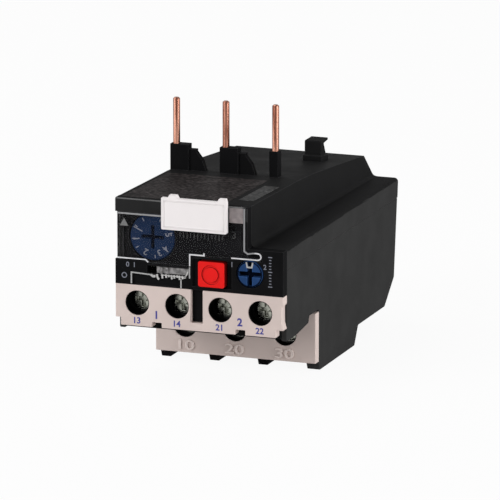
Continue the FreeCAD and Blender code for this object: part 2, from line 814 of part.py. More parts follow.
def cover_hinge_pin():
    """Steel pin through the barrel of the cover."""
    return rod("cover_hinge_pin", "Z", m.cover_hinge_x, at_depth(m.cover_hinge_depth),
               hinge_pin_low, m.hinge_pin_radius, hinge_pin_length)


# ---------------------------------------------------------------- controls

dial_stem_radius = 2.2
journal_radius = 1.6
flange_back = m.flange_depth + m.flange_thickness


def current_dial():
    """Setting dial: a cross-slotted head, a flange behind the panel and a stepped stem."""
    x, z = m.dial_x, m.dial_height
    face = m.cover_pocket + m.play
    slot = 0.9
    slot_depth = 0.8
    head = rod("dial_head", "Y", x, at_depth(face), z, m.dial_radius, flange_back - face)
    flange = rod("dial_flange", "Y", x, at_depth(m.flange_depth), z,
                 m.dial_radius + 3 * m.play, m.flange_thickness)
    stem = rod("dial_stem", "Y", x, at_depth(m.flange_depth), z,
               dial_stem_radius, frame_depth - m.play - m.flange_depth)
    journal = rod("dial_journal", "Y", x, at_depth(m.flange_depth), z,
                  journal_radius, frame_back - m.flange_depth)
    reach = m.dial_radius / 2
    across = box("dial_slot_across", x - reach, at_depth(face) - 1, z - slot / 2,
                 2 * reach, slot_depth + 1, slot)
    upright = box("dial_slot_upright", x - slot / 2, at_depth(face) - 1, z - reach,
                  slot, slot_depth + 1, 2 * reach)
    return cut("current_dial", join("dial_turned", head, flange, stem, journal), across, upright)


def dial_cam():
    """Eccentric cam on the stem of the dial."""
    start = at_depth(flange_back + m.wall)
    disc = rod("cam_disc", "Y", m.dial_x + 0.7, start, m.dial_height, dial_stem_radius + m.wall, 3)
    bore = rod("cam_bore", "Y", m.dial_x, start, m.dial_height, dial_stem_radius, 3)
    return cut("dial_cam", disc, bore)


stop_x = m.stop_left + m.stop_width / 2
stop_z = m.stop_bottom + m.stop_height / 2
stem_radius = 1.5


def stop_button():
    """Square red button with a ring groove, a flange behind the panel and a stem."""
    button = Moulding("stop_button")
    start = at_depth(-m.stop_proud)
    button.add("XZ", start, flange_back + m.stop_proud, [rectangle(
        m.stop_left, m.stop_bottom, m.stop_left + m.stop_width, m.stop_bottom + m.stop_height)])
    button.dress("Fillet", 2 * m.play, lambda edge: runs_along(edge, 1))
    button.dress("Fillet", m.play, lambda edge: near(edge.CenterOfMass.y, start))
    button.remove("XZ", start, m.play, [], [(stop_x, stop_z, 2.5), (stop_x, stop_z, 1.9)])
    lip = 2 * m.play
    button.add("XZ", at_depth(m.flange_depth), m.flange_thickness, [rectangle(
        m.stop_left - lip, m.stop_bottom - lip,
        m.stop_left + m.stop_width + lip, m.stop_bottom + m.stop_height + lip)])
    button.add("XZ", at_depth(flange_back), stem_back - flange_back, [],
               [(stop_x, stop_z, stem_radius)])
    return button.body


def reset_knob():
    """Blue knob: a cross-slotted head with a flange behind the panel and a blind bore."""
    x, z = m.reset_x, m.reset_height
    face = -m.reset_proud
    slot = 1.3
    slot_depth = 1.5
    head = rod("knob_head", "Y", x, at_depth(face), z, m.reset_radius, flange_back - face)
    flange = rod("knob_flange", "Y", x, at_depth(m.flange_depth), z,
                 m.reset_radius + 3 * m.play, m.flange_thickness)
    reach = m.reset_radius - m.play
    across = box("knob_slot_across", x - reach, at_depth(face) - 1, z - slot / 2,
                 2 * reach, slot_depth + 1, slot)
    upright = box("knob_slot_upright", x - slot / 2, at_depth(face) - 1, z - reach,
                  slot, slot_depth + 1, 2 * reach)
    bore = rod("knob_bore", "Y", x, at_depth(knob_bore_depth), z, stem_radius + m.shaft_gap,
               flange_back - knob_bore_depth)
    return cut("reset_knob", join("knob_turned", head, flange), across, upright, bore)


knob_bore_depth = 1.9


def reset_plunger():
    """Stem that the knob turns on, with a collar for the return spring."""
    x, z = m.reset_x, m.reset_height
    tip = at_depth(knob_bore_depth + m.play)
    stem = rod("plunger_stem", "Y", x, tip, z, stem_radius, at_depth(stem_back) - tip)
    collar = rod("plunger_collar", "Y", x, at_depth(flange_back + m.seat_gap), z, m.reset_radius, 1)
    return join("reset_plunger", stem, collar)


def test_slider():
    """Milky slider in its slot, with two grip ribs and a plate behind the panel."""
    gap = m.seat_gap
    x, z = m.test_left, m.test_bottom
    bar = box("slider_bar", x, at_depth(m.play), z, m.test_width, m.flange_depth - m.play, m.test_tall)
    plate = box("slider_plate", x - m.play, at_depth(m.flange_depth), z - 3 * gap,
                m.test_width + 2 * m.play, 1.2, m.test_tall + 4 * gap)
    ribs = [box("slider_rib%d" % number, x + 1 + 1.6 * number, at_depth(-m.play), z,
                0.7, 2 * m.play, m.test_tall) for number in (0, 1)]
    return join("test_slider", bar, plate, *ribs)


def spring(label, axis, x, y, z, mean_radius, wire_radius, length, turns):
    """Coil along an axis from the middle of its low end, its wire in short straight runs."""
    runs = 8
    rise = (length.number - 2 * wire_radius.number) / (runs * turns)
    path = doc.addObject("Part::Polygon", label + "_path")
    path.Nodes = [FreeCAD.Vector(mean_radius.number * math.cos(math.tau * run / runs),
                                 mean_radius.number * math.sin(math.tau * run / runs),
                                 rise * run) for run in range(runs * turns + 1)]
    wire = doc.addObject("Part::RegularPolygon", label + "_wire")
    wire.Polygon = 6
    bind(wire, Circumradius=wire_radius)
    wire.Placement = FreeCAD.Placement(path.Nodes[0], FreeCAD.Rotation(
        FreeCAD.Vector(0, 0, 1), path.Nodes[1] - path.Nodes[0]))
    coil = doc.addObject("Part::Sweep", label)
    coil.Sections = [wire]
    coil.Spine = (path, [])
    coil.Solid = True
    coil.Transition = "Right corner"
    coil.Placement = FreeCAD.Placement(FreeCAD.Vector(), TURNS[axis])
    return coil, (x, y, z)


def springs():
    """Return springs of the stop button, reset plunger, test slider and contact carrier."""
    wire = 0.22
    start = flange_back + 0.05
    collar_back = flange_back + m.seat_gap + 1.05
    frame_front = frame_depth - 0.05
    plan = [
        ("stop_spring", "Y", stop_x, at_depth(start), stop_z, frame_front - start, 2.2),
        ("reset_spring", "Y", m.reset_x, at_depth(collar_back), m.reset_height,
         frame_front - collar_back, 2.2),
        ("snap_spring", "Y", carrier_x, at_depth(frame_back + 0.05), carrier_height + 1.3,
         carrier_depth - frame_back - 0.1, 0.9),
        ("test_spring", "X", spring_seat + 0.1, at_depth(m.flange_depth + 0.9),
         m.test_bottom + m.test_tall / 2, as_size(test_spring_length), 0.6)]
    coils = []
    for label, axis, x, y, z, length, radius in plan:
        coil, corner = spring(label, axis, x, y, z, as_size(radius), as_size(wire),
                              length - 0.8 * wire, 4)
        shift = [0.0, 0.0, 0.0]
        shift["XYZ".index(axis)] = 1.4 * wire
        place(coil, *[value + move for value, move in zip(corner, shift)])
        coils.append(coil)
    return coils


# ---------------------------------------------------------------- control terminals

head_depth = 4.7
washer_depth = head_depth + 2
plate_depth = 9.0
contact_block_height = m.cross_wall_height


def control_screws():
    """Four cross-slotted clamp screws of the control terminals."""
    screws = []
    for number, x in enumerate(control_centres()):
        z = m.control_screw_height
        head = rod("control_head%d" % number, "Y", x, at_depth(head_depth), z,
                   m.control_head_radius, 2)
        shank = rod("control_shank%d" % number, "Y", x, at_depth(head_depth), z,
                    m.control_shank_radius, 6.7)
        slots = [box("control_slot_a%d" % number, x - 2, at_depth(head_depth) - 1, z - 0.45, 4, 2, 0.9),
                 box("control_slot_b%d" % number, x - 0.45, at_depth(head_depth) - 1, z - 2, 0.9, 2, 4)]
        whole = join("control_turned%d" % number, head, shank)
        screws.append(cut("control_screw%d" % number, whole, *slots))
    return group("control_terminal_screws", screws)


def control_washers():
    """Four square clamp washers under the heads of the control screws."""
    washers = []
    for number, x in enumerate(control_centres()):
        plate = box("washer_plate%d" % number, x - m.washer_side / 2, at_depth(washer_depth),
                    m.control_screw_height - m.washer_height / 2, m.washer_side, 0.9,
                    m.washer_height)
        bore = rod("washer_bore%d" % number, "Y", x, at_depth(washer_depth),
                   m.control_screw_height, m.control_shank_radius + m.seat_gap, 0.9)
        washers.append(cut("clamp_washer%d" % number, plate, bore))
    return group("control_clamp_washers", washers)


def control_plate(label, x, tab_depth, rivet_depth):
    """Terminal plate with an arm that carries a fixed contact."""
    arm_low = contact_block_height
    plate = box(label + "_plate", x - 3.3, at_depth(plate_depth), m.control_screw_height - 3,
                6.6, 1.2, arm_low + 1 - m.control_screw_height + 3)
    bore = rod(label + "_bore", "Y", x, at_depth(plate_depth), m.control_screw_height,
               m.control_shank_radius, 1.2)
    arm = box(label + "_arm", x - 2, at_depth(plate_depth), arm_low, 4, tab_depth - plate_depth + 0.8, 1)
    tab = box(label + "_tab", x - 2, at_depth(tab_depth), arm_low, 4, 0.8, 5)
    rivet = rod(label + "_rivet", "Y", x, at_depth(rivet_depth), arm_low + 3.8, 1, 0.6)
    return cut(label, join(label + "_bent", plate, arm, tab, rivet), bore)


nc_tab_depth = 20.4
no_tab_depth = 15.8
rivet_height = 0.6
tab_thickness = 0.8
bridge_thickness = 0.8


def control_plates():
    """Terminal plates of the opening and the closing contact."""
    no_left, no_right, nc_left, nc_right = control_centres()
    behind = no_tab_depth + tab_thickness
    ahead = nc_tab_depth - rivet_height
    return [control_plate("no_terminal_left", no_left, no_tab_depth, behind),
            control_plate("no_terminal_right", no_right, no_tab_depth, behind),
            control_plate("nc_terminal_left", nc_left, nc_tab_depth, ahead),
            control_plate("nc_terminal_right", nc_right, nc_tab_depth, ahead)]


# ---------------------------------------------------------------- contact set

carrier_x = m.control_middle_x
carrier_height = m.cross_wall_height + 6.0
carrier_depth = 17.4
contact_gap = 0.05


def bridge(label, first, second, depth):
    """Moving contact bridge between two terminals."""
    return box(label, first - 1.2, at_depth(depth), contact_block_height + 3,
               second - first + 2.4, bridge_thickness, 1.6)


def contact_bridges():
    """The bridge that opens on a trip and the one that closes."""
    no_left, no_right, nc_left, nc_right = control_centres()
    nc_depth = nc_tab_depth - rivet_height - contact_gap - bridge_thickness
    no_depth = no_tab_depth + tab_thickness + rivet_height + m.contact_travel + contact_gap
    return [bridge("nc_contact_bridge", nc_left, nc_right, nc_depth),
            bridge("no_contact_bridge", no_left, no_right, no_depth)]


def contact_carrier():
    """Insulating bar that carries both contact bridges."""
    reach = m.control_outer + 1.5
    bar = box("carrier_bar", carrier_x - reach, at_depth(carrier_depth), carrier_height,
              2 * reach, 2, 2.6)
    middle = (m.control_inner + m.control_outer) / 2
    nc_depth = nc_tab_depth - rivet_height - contact_gap - bridge_thickness
    no_depth = no_tab_depth + tab_thickness + rivet_height + m.contact_travel + contact_gap
    legs = [box("carrier_leg_nc", carrier_x + middle - 1.2, at_depth(carrier_depth),
                contact_block_height + 3, 2.4, nc_depth - carrier_depth, 3.2),
            box("carrier_leg_no", carrier_x - middle - 1.2, at_depth(carrier_depth),
                contact_block_height + 3, 2.4, no_depth - carrier_depth, 3.2)]
    return join("contact_carrier", bar, *legs)


def mechanism_frame():
    """Plate behind the controls with their bearings and the shelf of the contact carrier."""
    frame = Moulding("mechanism_frame")
    low = m.control_top + m.seat_gap
    side = m.seat_gap
    frame.add("XZ", at_depth(frame_depth), m.frame_thickness, [[
        (inner_left + side, low), (inner_right - side, low),
        (inner_right - side, m.ledge_height - m.wall - side),
        (m.block_right - m.wall - 2 * side, m.ledge_height - m.wall - side),
        (m.block_right - m.wall - 2 * side, m.top_mid_height - m.wall - 4 * side),
        (inner_left + side, m.top_mid_height - m.wall - 4 * side)]])
    frame.remove("XZ", at_depth(frame_depth), m.frame_thickness, [], [
        (m.dial_x, m.dial_height, journal_radius + m.shaft_gap),
        (stop_x, stop_z, stem_radius + m.shaft_gap),
        (m.reset_x, m.reset_height, stem_radius + m.shaft_gap)])
    frame.add("XZ", at_depth(frame_back), carrier_depth + 2 - frame_back, [rectangle(
        carrier_x - 3, carrier_height - m.play - m.wall, carrier_x + 3, carrier_height - m.play)])
    return frame.body


# ---------------------------------------------------------------- trip train

bar_half_width = 3.2
bar_depth = 36.0
bar_thickness = 1.2
differential_height = 29.6
push_height = differential_height + 1.4
slide_thickness = 1.0
slide_front = 46.8
slide_depth = 9.4
slide_reach = 19.0
rib_reach = 4.4
bracket_height = m.floor_height + 1.0
heater_height = bracket_height + 2.5


def slide(label, height):
    """Slide with a slot round each bimetal strip."""
    bar = Moulding(label)
    half = m.bimetal_thickness / 2
    bar.add("XY", height, slide_thickness, [rectangle(
        as_size(-slide_reach), at_depth(slide_front), as_size(slide_reach), at_depth(slide_front + slide_depth))])
    bar.remove("XY", height, slide_thickness, [rectangle(
        screw_x(pole) - half - m.slide_travel - m.play, at_depth(m.bimetal_depth - m.play),
        screw_x(pole) + half + m.play, at_depth(m.bimetal_depth + m.bimetal_width + m.play))
        for pole in POLES])
    reach = 2 * peg_radius
    bar.remove("XY", height, slide_thickness, [rectangle(
        lever_x - reach, at_depth(far_peg_depth - reach),
        lever_x + reach, at_depth(far_peg_depth + reach))])
    return bar


def push_slide():
    """Upper slide that the bimetal strips push, with the finger that moves the trip lever."""
    bar = slide("push_slide", as_size(push_height))
    finger_right = m.pivot_x - strip_half - m.play
    bar.add("YZ", finger_right - m.wall, m.wall, [[
        (at_depth(finger_depth), strip_low), (at_depth(as_size(slide_front) - m.play), strip_low),
        (at_depth(as_size(slide_front) - m.play), as_size(push_height)),
        (at_depth(slide_front + 1), as_size(push_height)),
        (at_depth(slide_front + 1), as_size(push_height + slide_thickness)),
        (at_depth(finger_depth), as_size(push_height + slide_thickness))]])
    bar.remove("XY", as_size(push_height), slide_thickness, [], [
        (lever_x, at_depth(near_peg_depth), peg_radius + m.shaft_gap)])
    return bar.body


def differential_slide():
    """Lower slide that follows the coolest bimetal strip."""
    return slide("differential_slide", as_size(differential_height)).body


finger_depth = 44.8
strip_half = 0.3
strip_low = m.floor_height + 7.0
strip_height = 3.6


lever_x = m.pivot_x + 9
near_peg_depth = slide_front + 1.8
far_peg_depth = near_peg_depth + 5
peg_radius = 0.5


def differential_lever():
    """Small lever on the slides that compares them: one peg in each slide."""
    top = as_size(push_height + slide_thickness)
    arm = box("lever_arm", lever_x - 1, at_depth(near_peg_depth - 1), top, 2,
              far_peg_depth - near_peg_depth + 2, 1)
    near_peg = rod("lever_near_peg", "Z", lever_x, at_depth(near_peg_depth),
                   top - slide_thickness, peg_radius, slide_thickness)
    far_low = as_size(differential_height)
    far_peg = rod("lever_far_peg", "Z", lever_x, at_depth(far_peg_depth),
                  far_low, peg_radius, top - far_low)
    return join("differential_lever", arm, near_peg, far_peg)


def trip_lever():
    """Two-armed lever between the push slide and the contact carrier."""
    x, y = m.pivot_x, at_depth(m.pivot_depth)
    hub_low = strip_low - m.play
    hub_height = 7.0
    hub = rod("lever_hub", "Z", x, y, hub_low, 2.6, hub_height)
    front_low = carrier_height + m.seat_gap
    front_end = at_depth(carrier_depth + 2 + 0.5)
    arm = box("lever_front_arm", x - 1, front_end, front_low, 2, y - front_end, 2)
    socket = box("lever_socket", x - 1.2, y, hub_low, 2.4, 5, strip_height + 2 * m.play)
    bore = rod("lever_bore", "Z", x, y, hub_low, pivot_radius + m.shaft_gap, hub_height)
    groove = box("lever_groove", x - strip_half, y + 2.9, strip_low, 2 * strip_half, 3, strip_height)
    return cut("trip_lever", join("lever_body", hub, arm, socket), bore, groove)


pivot_radius = 1.0


def compensating_strip():
    """Bimetal strip that corrects the trip lever for the room's temperature."""
    x, y = m.pivot_x, at_depth(m.pivot_depth)
    return box("compensating_strip", x - strip_half, y + 2.9, strip_low, 2 * strip_half,
               at_depth(finger_depth + 1.2) - y - 2.9, strip_height)


def lever_pivot_pin():
    """Collared steel pin of the trip lever, standing on the floor of the housing."""
    x, y = m.pivot_x, at_depth(m.pivot_depth)
    pin = rod("pivot_shaft", "Z", x, y, m.floor_height, pivot_radius, 14.4)
    collar = rod("pivot_collar", "Z", x, y, m.floor_height, 2,
                 strip_low - m.play - m.seat_gap - m.floor_height)
    return join("lever_pivot_pin", pin, collar)


# ---------------------------------------------------------------- poles

def line_pin(pole):
    """Copper pin with a flat lead that runs to its heater."""
    x = pin_x(pole)
    y = at_depth(m.pin_depth)
    radius = m.pin_radius
    root = box("line_root%d" % pole, x - m.pin_root_width / 2, y - m.pin_root_length / 2,
               pin_foot, m.pin_root_width, m.pin_root_length,
               m.boss_height - pin_foot)
    shaft = rod("line_shaft%d" % pole, "Z", x, y, m.boss_height, radius,
                m.pin_tip_height - m.boss_height - radius / 3)
    tip = doc.addObject("Part::Cone", "line_tip%d" % pole)
    bind(tip, Radius1=radius, Radius2=radius * 0.6, Height=radius / 3)
    place(tip, x, y, m.pin_tip_height - radius / 3)
    lead_start = x + m.play
    lead = box("line_lead%d" % pole, lead_start, y - lead_half, pin_foot,
               screw_x(pole) + lead_half - lead_start, at_depth(lead_back) + lead_half - y, 1.2)
    return join("line_pin_%d" % (pole + 1), root, shaft, tip, lead)


lead_half = 0.8
lead_front = 42.0
lead_back = 43.2


def heater(pole):
    """Heater ribbon wound in turns round a bimetal strip, with a lead up to the line pin."""
    x = screw_x(pole)
    outer_half = 1.9
    inner_half = 1.1
    band = 1.2
    margin = 1.5
    inset = 0.8
    depth = m.bimetal_depth - margin
    length = m.bimetal_width + 2 * margin
    turns = []
    for number in range(3):
        low = heater_height + m.ring_pitch * number
        shell = box("turn_shell%d_%d" % (pole, number), x - outer_half, at_depth(depth), low,
                    2 * outer_half, length, band)
        core = box("turn_core%d_%d" % (pole, number), x - inner_half, at_depth(depth + inset), low,
                   2 * inner_half, length - 2 * inset, band)
        turns.append(cut("turn%d_%d" % (pole, number), shell, core))
    top = heater_height + 2 * m.ring_pitch
    links = [box("turn_link%d_%d" % (pole, number), x + outer_half - 0.8, at_depth(depth),
                 heater_height + m.ring_pitch * number, 0.8, 1, m.ring_pitch + band)
             for number in (0, 1)]
    out = box("heater_out%d" % pole, x - lead_half, at_depth(lead_front), top,
              2 * lead_half, depth - lead_front + inset, band)
    rise = box("heater_rise%d" % pole, x - lead_half, at_depth(lead_front), top,
               2 * lead_half, lead_back - lead_front, pin_foot - top)
    tail = box("heater_tail%d" % pole, x + outer_half - 0.8, at_depth(depth), bracket_height,
               0.8, 1, heater_height - bracket_height)
    return join("heater_winding_%d" % (pole + 1), *turns, *links, out, rise, tail)


def bimetal(pole):
    """Bimetal strip of one pole, standing on its bracket."""
    half = m.bimetal_thickness / 2
    low = bracket_height + 0.8
    return box("bimetal_strip_%d" % (pole + 1), screw_x(pole) - half, at_depth(m.bimetal_depth),
               low, m.bimetal_thickness, m.bimetal_width, push_height + slide_thickness + 0.7 - low)


def bimetal_bracket(pole):
    """Bracket that grips the foot of a bimetal strip on its load bar."""
    x = screw_x(pole)
    half = m.bimetal_thickness / 2
    start = at_depth(m.bimetal_depth)
    base = box("bracket_base%d" % pole, x - 2.4, start, bracket_height, 3.4, m.bimetal_width, 0.8)
    cheeks = [box("bracket_cheek%d_%d" % (pole, side), x - half - 0.6 if side < 0 else x + half,
                  start, bracket_height, 0.6, m.bimetal_width, 2.2) for side in (-1, 1)]
    return join("bimetal_bracket_%d" % (pole + 1), base, *cheeks)


def load_bar(pole):
    """Bent terminal bar from the clamp up to the bimetal bracket."""
    bar = Moulding("load_bar_%d" % (pole + 1))
    low = m.load_screw_height - 4
    top = m.floor_height + 1.0
    end = m.bimetal_depth + m.bimetal_width + 1
    outline = [(bar_depth, low), (bar_depth + bar_thickness, low),
               (bar_depth + bar_thickness, m.floor_height), (end, m.floor_height), (end, top),
               (bar_depth, top)]
    bar.add("YZ", screw_x(pole) - bar_half_width, as_size(2 * bar_half_width),
            [[(at_depth(depth), height) for depth, height in outline]])
    return bar.body


cage_front = bar_depth - 2.2
cage_back = bar_depth + 7.6
cage_wall = 1.2
cage_half = bar_half_width + 0.2 + cage_wall


def load_clamp(pole):
    """Cage clamp round the bar, open below for the wire."""
    x = screw_x(pole)
    low = m.load_screw_height - 3.7
    shell = box("cage_shell%d" % pole, x - cage_half, at_depth(cage_front), low,
                2 * cage_half, cage_back - cage_front, 6.4)
    hollow = box("cage_hollow%d" % pole, x - cage_half + cage_wall, at_depth(cage_front + cage_wall),
                 low, 2 * (cage_half - cage_wall), cage_back - cage_front - 2 * cage_wall, 6.4)
    thread = rod("cage_thread%d" % pole, "Y", x, at_depth(cage_front), m.load_screw_height,
                 load_shank_radius, cage_wall)
    return cut("load_clamp_%d" % (pole + 1), shell, hollow, thread)


load_shank_radius = 2.0


def load_screws():
    """Three cross-slotted screws of the load clamps."""
    start = load_cover_back + 1.6
    screws = []
    for pole in POLES:
        x, z = screw_x(pole), m.load_screw_height
        head = rod("load_head%d" % pole, "Y", x, at_depth(start), z, m.load_head_radius, 2.4)
        shank = rod("load_shank%d" % pole, "Y", x, at_depth(start), z, load_shank_radius,
                    bar_depth - start)
        slots = [box("load_slot_a%d" % pole, x - 2.2, at_depth(start) - 1, z - 0.5, 4.4, 2.1, 1),
                 box("load_slot_b%d" % pole, x - 0.5, at_depth(start) - 1, z - 2.2, 1, 2.1, 4.4)]
        screws.append(cut("load_screw%d" % pole, join("load_turned%d" % pole, head, shank), *slots))
    return group("load_terminal_screws", screws)


# ---------------------------------------------------------------- assembly

def build():
    """Make every sub-part and return the document objects that become files."""
    nodes = [lower_housing(), upper_housing(), front_panel(), control_terminal_cover(),
             load_terminal_cover(), control_terminal_block(), load_terminal_block(),
             mounting_hook(), clear_cover(), marker_tag(), cover_hinge_pin(), current_dial(),
             dial_cam(), stop_button(), reset_knob(), reset_plunger(), test_slider(),
             control_screws(), control_washers(), contact_carrier(), mechanism_frame(),
             push_slide(), differential_slide(), differential_lever(), trip_lever(),
             compensating_strip(), lever_pivot_pin(), load_screws()]
    nodes += springs() + control_plates() + contact_bridges()
    for pole in POLES:
        nodes += [line_pin(pole), heater(pole), bimetal(pole), bimetal_bracket(pole),
                  load_bar(pole), load_clamp(pole)]
    return nodes


def check(nodes):
    """Stop where an object failed or a sub-part is not a sound solid."""
    for item in doc.Objects:
        if "Invalid" in item.State or "Error" in item.State:
            raise RuntimeError("failed object: %s %s" % (item.Name, item.State))
    for node in nodes:
        if node.Shape.isNull() or not node.Shape.isValid() or not node.Shape.Solids:
            raise RuntimeError("unsound sub-part: " + node.Label)


def export(nodes):
    """Write one STEP file for each sub-part."""
    os.makedirs("parts", exist_ok=True)
    for node in nodes:
        node.Shape.exportStep("parts/%s.step" % node.Label)


nodes = build()
doc.recompute()
check(nodes)
export(nodes)
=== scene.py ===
"""Looks of a plug-in thermal overload relay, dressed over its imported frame.

Lengths are millimetres until a shape is saved, and metres in the scene.
The operating face looks along -Y, +Z is up and +X is to the right.
"""
from __future__ import annotations

import logging
import math
from collections.abc import Callable
from dataclasses import dataclass
from enum import Enum

import bmesh
import bpy
from mathutils import Euler, Matrix, Vector

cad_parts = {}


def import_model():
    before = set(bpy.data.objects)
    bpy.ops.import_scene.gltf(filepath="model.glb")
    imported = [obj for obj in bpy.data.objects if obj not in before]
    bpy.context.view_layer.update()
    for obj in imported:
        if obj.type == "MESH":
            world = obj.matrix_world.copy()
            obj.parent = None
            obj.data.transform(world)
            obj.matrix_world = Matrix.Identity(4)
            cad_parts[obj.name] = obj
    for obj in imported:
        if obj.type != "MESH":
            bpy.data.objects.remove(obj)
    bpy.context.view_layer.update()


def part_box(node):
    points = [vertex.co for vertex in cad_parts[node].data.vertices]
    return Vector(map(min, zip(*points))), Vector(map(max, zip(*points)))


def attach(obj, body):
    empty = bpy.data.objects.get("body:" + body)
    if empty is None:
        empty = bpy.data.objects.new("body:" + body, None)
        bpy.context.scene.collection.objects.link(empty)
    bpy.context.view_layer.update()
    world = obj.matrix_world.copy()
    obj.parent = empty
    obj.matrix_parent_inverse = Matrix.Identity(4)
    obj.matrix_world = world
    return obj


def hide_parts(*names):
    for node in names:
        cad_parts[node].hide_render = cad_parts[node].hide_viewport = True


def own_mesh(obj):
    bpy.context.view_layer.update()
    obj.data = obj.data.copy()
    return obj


log = logging.getLogger("relay")

MM = 0.001
FRONT = -43.8                   # the Y of the operating face
WELD = 0.002                    # corners nearer than this become one
FLAT = math.radians(0.5)        # faces within this angle lie in one plane
SHARP = math.radians(32)        # edges sharper than this are rounded
PRINT = 0.02                    # how far a mark stands before its face, and behind it
SKIN = 0.005                    # how far numerals lie before their face
HIGHLIGHT_DEPTH = 0.2                 # how deep the cover's painted highlights reach
CAPITAL = 0.72                  # the height of a capital, as a share of its font's size
EDGE_RAYS = 6                   # rays that look for the rounded edges of a finish

Colour = tuple[float, float, float]
Place = tuple[float, float, float]
Point = tuple[float, float]
Socket = bpy.types.NodeSocket


# ------------------------------------------------------------------ finishes


class Graph:
    """One material under construction, with its main shader at hand."""

    def __init__(self, name: str) -> None:
        """Starts a material.

        Args:
            name: the material's name.
        """
        self.material = bpy.data.materials.new(name)
        self.material.use_nodes = True
        self.nodes = self.material.node_tree.nodes
        self.links = self.material.node_tree.links
        self.shader = self.nodes["Principled BSDF"]
        self.place = self.nodes.new("ShaderNodeTexCoord").outputs["Object"]

    def set(self, **values: object) -> None:
        """Writes constants on the main shader's own sockets.

        Args:
            **values: socket names, with _ for a blank, and their values.
        """
        for name, value in values.items():
            self.shader.inputs[name.replace("_", " ")].default_value = value

    def noise(self, size: float, detail: float = 3.0, stretch: Place = (1, 1, 1)) -> Socket:
        """Adds a noise pattern.

        Args:
            size: the width of one blotch in millimetres.
            detail: how many finer octaves it holds.
            stretch: how much the pattern is squeezed along each axis.

        Returns:
            The noise's value socket.
        """
        mapping = self.nodes.new("ShaderNodeMapping")
        mapping.inputs["Scale"].default_value = stretch
        self.links.new(self.place, mapping.inputs["Vector"])
        noise = self.nodes.new("ShaderNodeTexNoise")
        noise.inputs["Scale"].default_value = 1 / (size * MM)
        noise.inputs["Detail"].default_value = detail
        self.links.new(mapping.outputs["Vector"], noise.inputs["Vector"])
        return noise.outputs["Fac"]

    def span(self, source: Socket, low: float, high: float, start: float = 0.3,
             end: float = 0.7) -> Socket:
        """Adds a map from one range to another.

        Args:
            source: the socket to read.
            low: the result at start.
            high: the result at end.
            start: the lowest value read.
            end: the highest value read.

        Returns:
            The mapped value socket.
        """
        node = self.nodes.new("ShaderNodeMapRange")
        node.inputs["From Min"].default_value = start
        node.inputs["From Max"].default_value = end
        node.inputs["To Min"].default_value = low
        node.inputs["To Max"].default_value = high
        self.links.new(source, node.inputs["Value"])
        return node.outputs["Result"]

    def blend(self, share: Socket, first: Colour | Socket, second: Colour | Socket) -> Socket:
        """Mixes two colours.

        Args:
            share: the socket that gives the share of the second colour.
            first: the first colour, or a colour socket.
            second: the second colour, or a colour socket.

        Returns:
            The mixed colour socket.
        """
        node = self.nodes.new("ShaderNodeMix")
        node.data_type = "RGBA"
        self.links.new(share, node.inputs["Factor"])
        for socket, value in ((node.inputs["A"], first), (node.inputs["B"], second)):
            if isinstance(value, tuple):
                socket.default_value = (*value, 1.0)
            else:
                self.links.new(value, socket)
        return node.outputs["Result"]

    def colour(self, socket: Socket) -> None:
        """Sends a colour to the shader's base colour."""
        self.links.new(socket, self.shader.inputs["Base Color"])

    def rough(self, socket: Socket) -> None:
        """Sends a value to the shader's roughness."""
        self.links.new(socket, self.shader.inputs["Roughness"])

    def bump(self, height: Socket, depth: float, strength: float,
             round_edges: float = 0.0) -> Socket | None:
        """Adds surface relief, over edges that are rounded in shading.

        Args:
            height: the socket that gives the relief.
            depth: the relief's depth in millimetres.
            strength: how strongly the relief shows.
            round_edges: the radius of the edge rounding in millimetres.

        Returns:
            The rounded normal socket, or None without rounding.
        """
        node = self.nodes.new("ShaderNodeBump")
        node.inputs["Distance"].default_value = depth * MM
        node.inputs["Strength"].default_value = strength
        self.links.new(height, node.inputs["Height"])
        soft = None
        if round_edges:
            bevel = self.nodes.new("ShaderNodeBevel")
            bevel.samples = EDGE_RAYS
            bevel.inputs["Radius"].default_value = round_edges * MM
            soft = bevel.outputs["Normal"]
            self.links.new(soft, node.inputs["Normal"])
        self.links.new(node.outputs["Normal"], self.shader.inputs["Normal"])
        return soft

    def edge(self, soft: Socket) -> Socket:
        """Finds the edges from the rounded normal.

        Args:
            soft: the rounded normal socket.

        Returns:
            A socket that is 1 on an edge and 0 on a flat.
        """
        geometry = self.nodes.new("ShaderNodeNewGeometry")
        dot = self.nodes.new("ShaderNodeVectorMath")
        dot.operation = "DOT_PRODUCT"
        self.links.new(soft, dot.inputs[0])
        self.links.new(geometry.outputs["Normal"], dot.inputs[1])
        return self.span(dot.outputs["Value"], 1.0, 0.0, 0.90, 0.995)


@dataclass(frozen=True)
class Moulded:
    """Moulded plastic with a spark-eroded grain, soft flow marks and a painted highlight on its
    rounded edges.
    """

    name: str
    colour: Colour
    roughness: float = 0.5
    grain: float = 0.02
    grain_size: float = 0.35
    mottle: float = 0.12
    edge_light: float = 1.6
    edge_radius: float = 0.25
    gloss: float = 0.06
    flow_size: float = 9.0
    unevenness: float = 0.06
    edge_lift: float = 0.004

    def make(self) -> bpy.types.Material:
        """Builds the finish.

        Returns:
            The new material.
        """
        graph = Graph(self.name)
        graph.set(IOR=1 + self.gloss)
        flow = graph.noise(self.flow_size, 4.0)
        grain = graph.noise(self.grain_size, 2.0)
        low = tuple(value * (1 - self.mottle) for value in self.colour)
        high = tuple(value * (1 + self.mottle) for value in self.colour)
        body = graph.blend(graph.span(flow, 0, 1), low, high)
        soft = graph.bump(grain, self.grain, 0.6, self.edge_radius)
        # Painted highlight: edges found from the rounded normal are lightened by edge_light and
        # edge_lift.
        edge_highlight_colour = tuple(min(1.0, value * self.edge_light + self.edge_lift) for value in self.colour)
        graph.colour(graph.blend(graph.edge(soft), body, edge_highlight_colour))
        graph.rough(graph.span(flow, self.roughness - self.unevenness,
                               self.roughness + self.unevenness))
        return graph.material


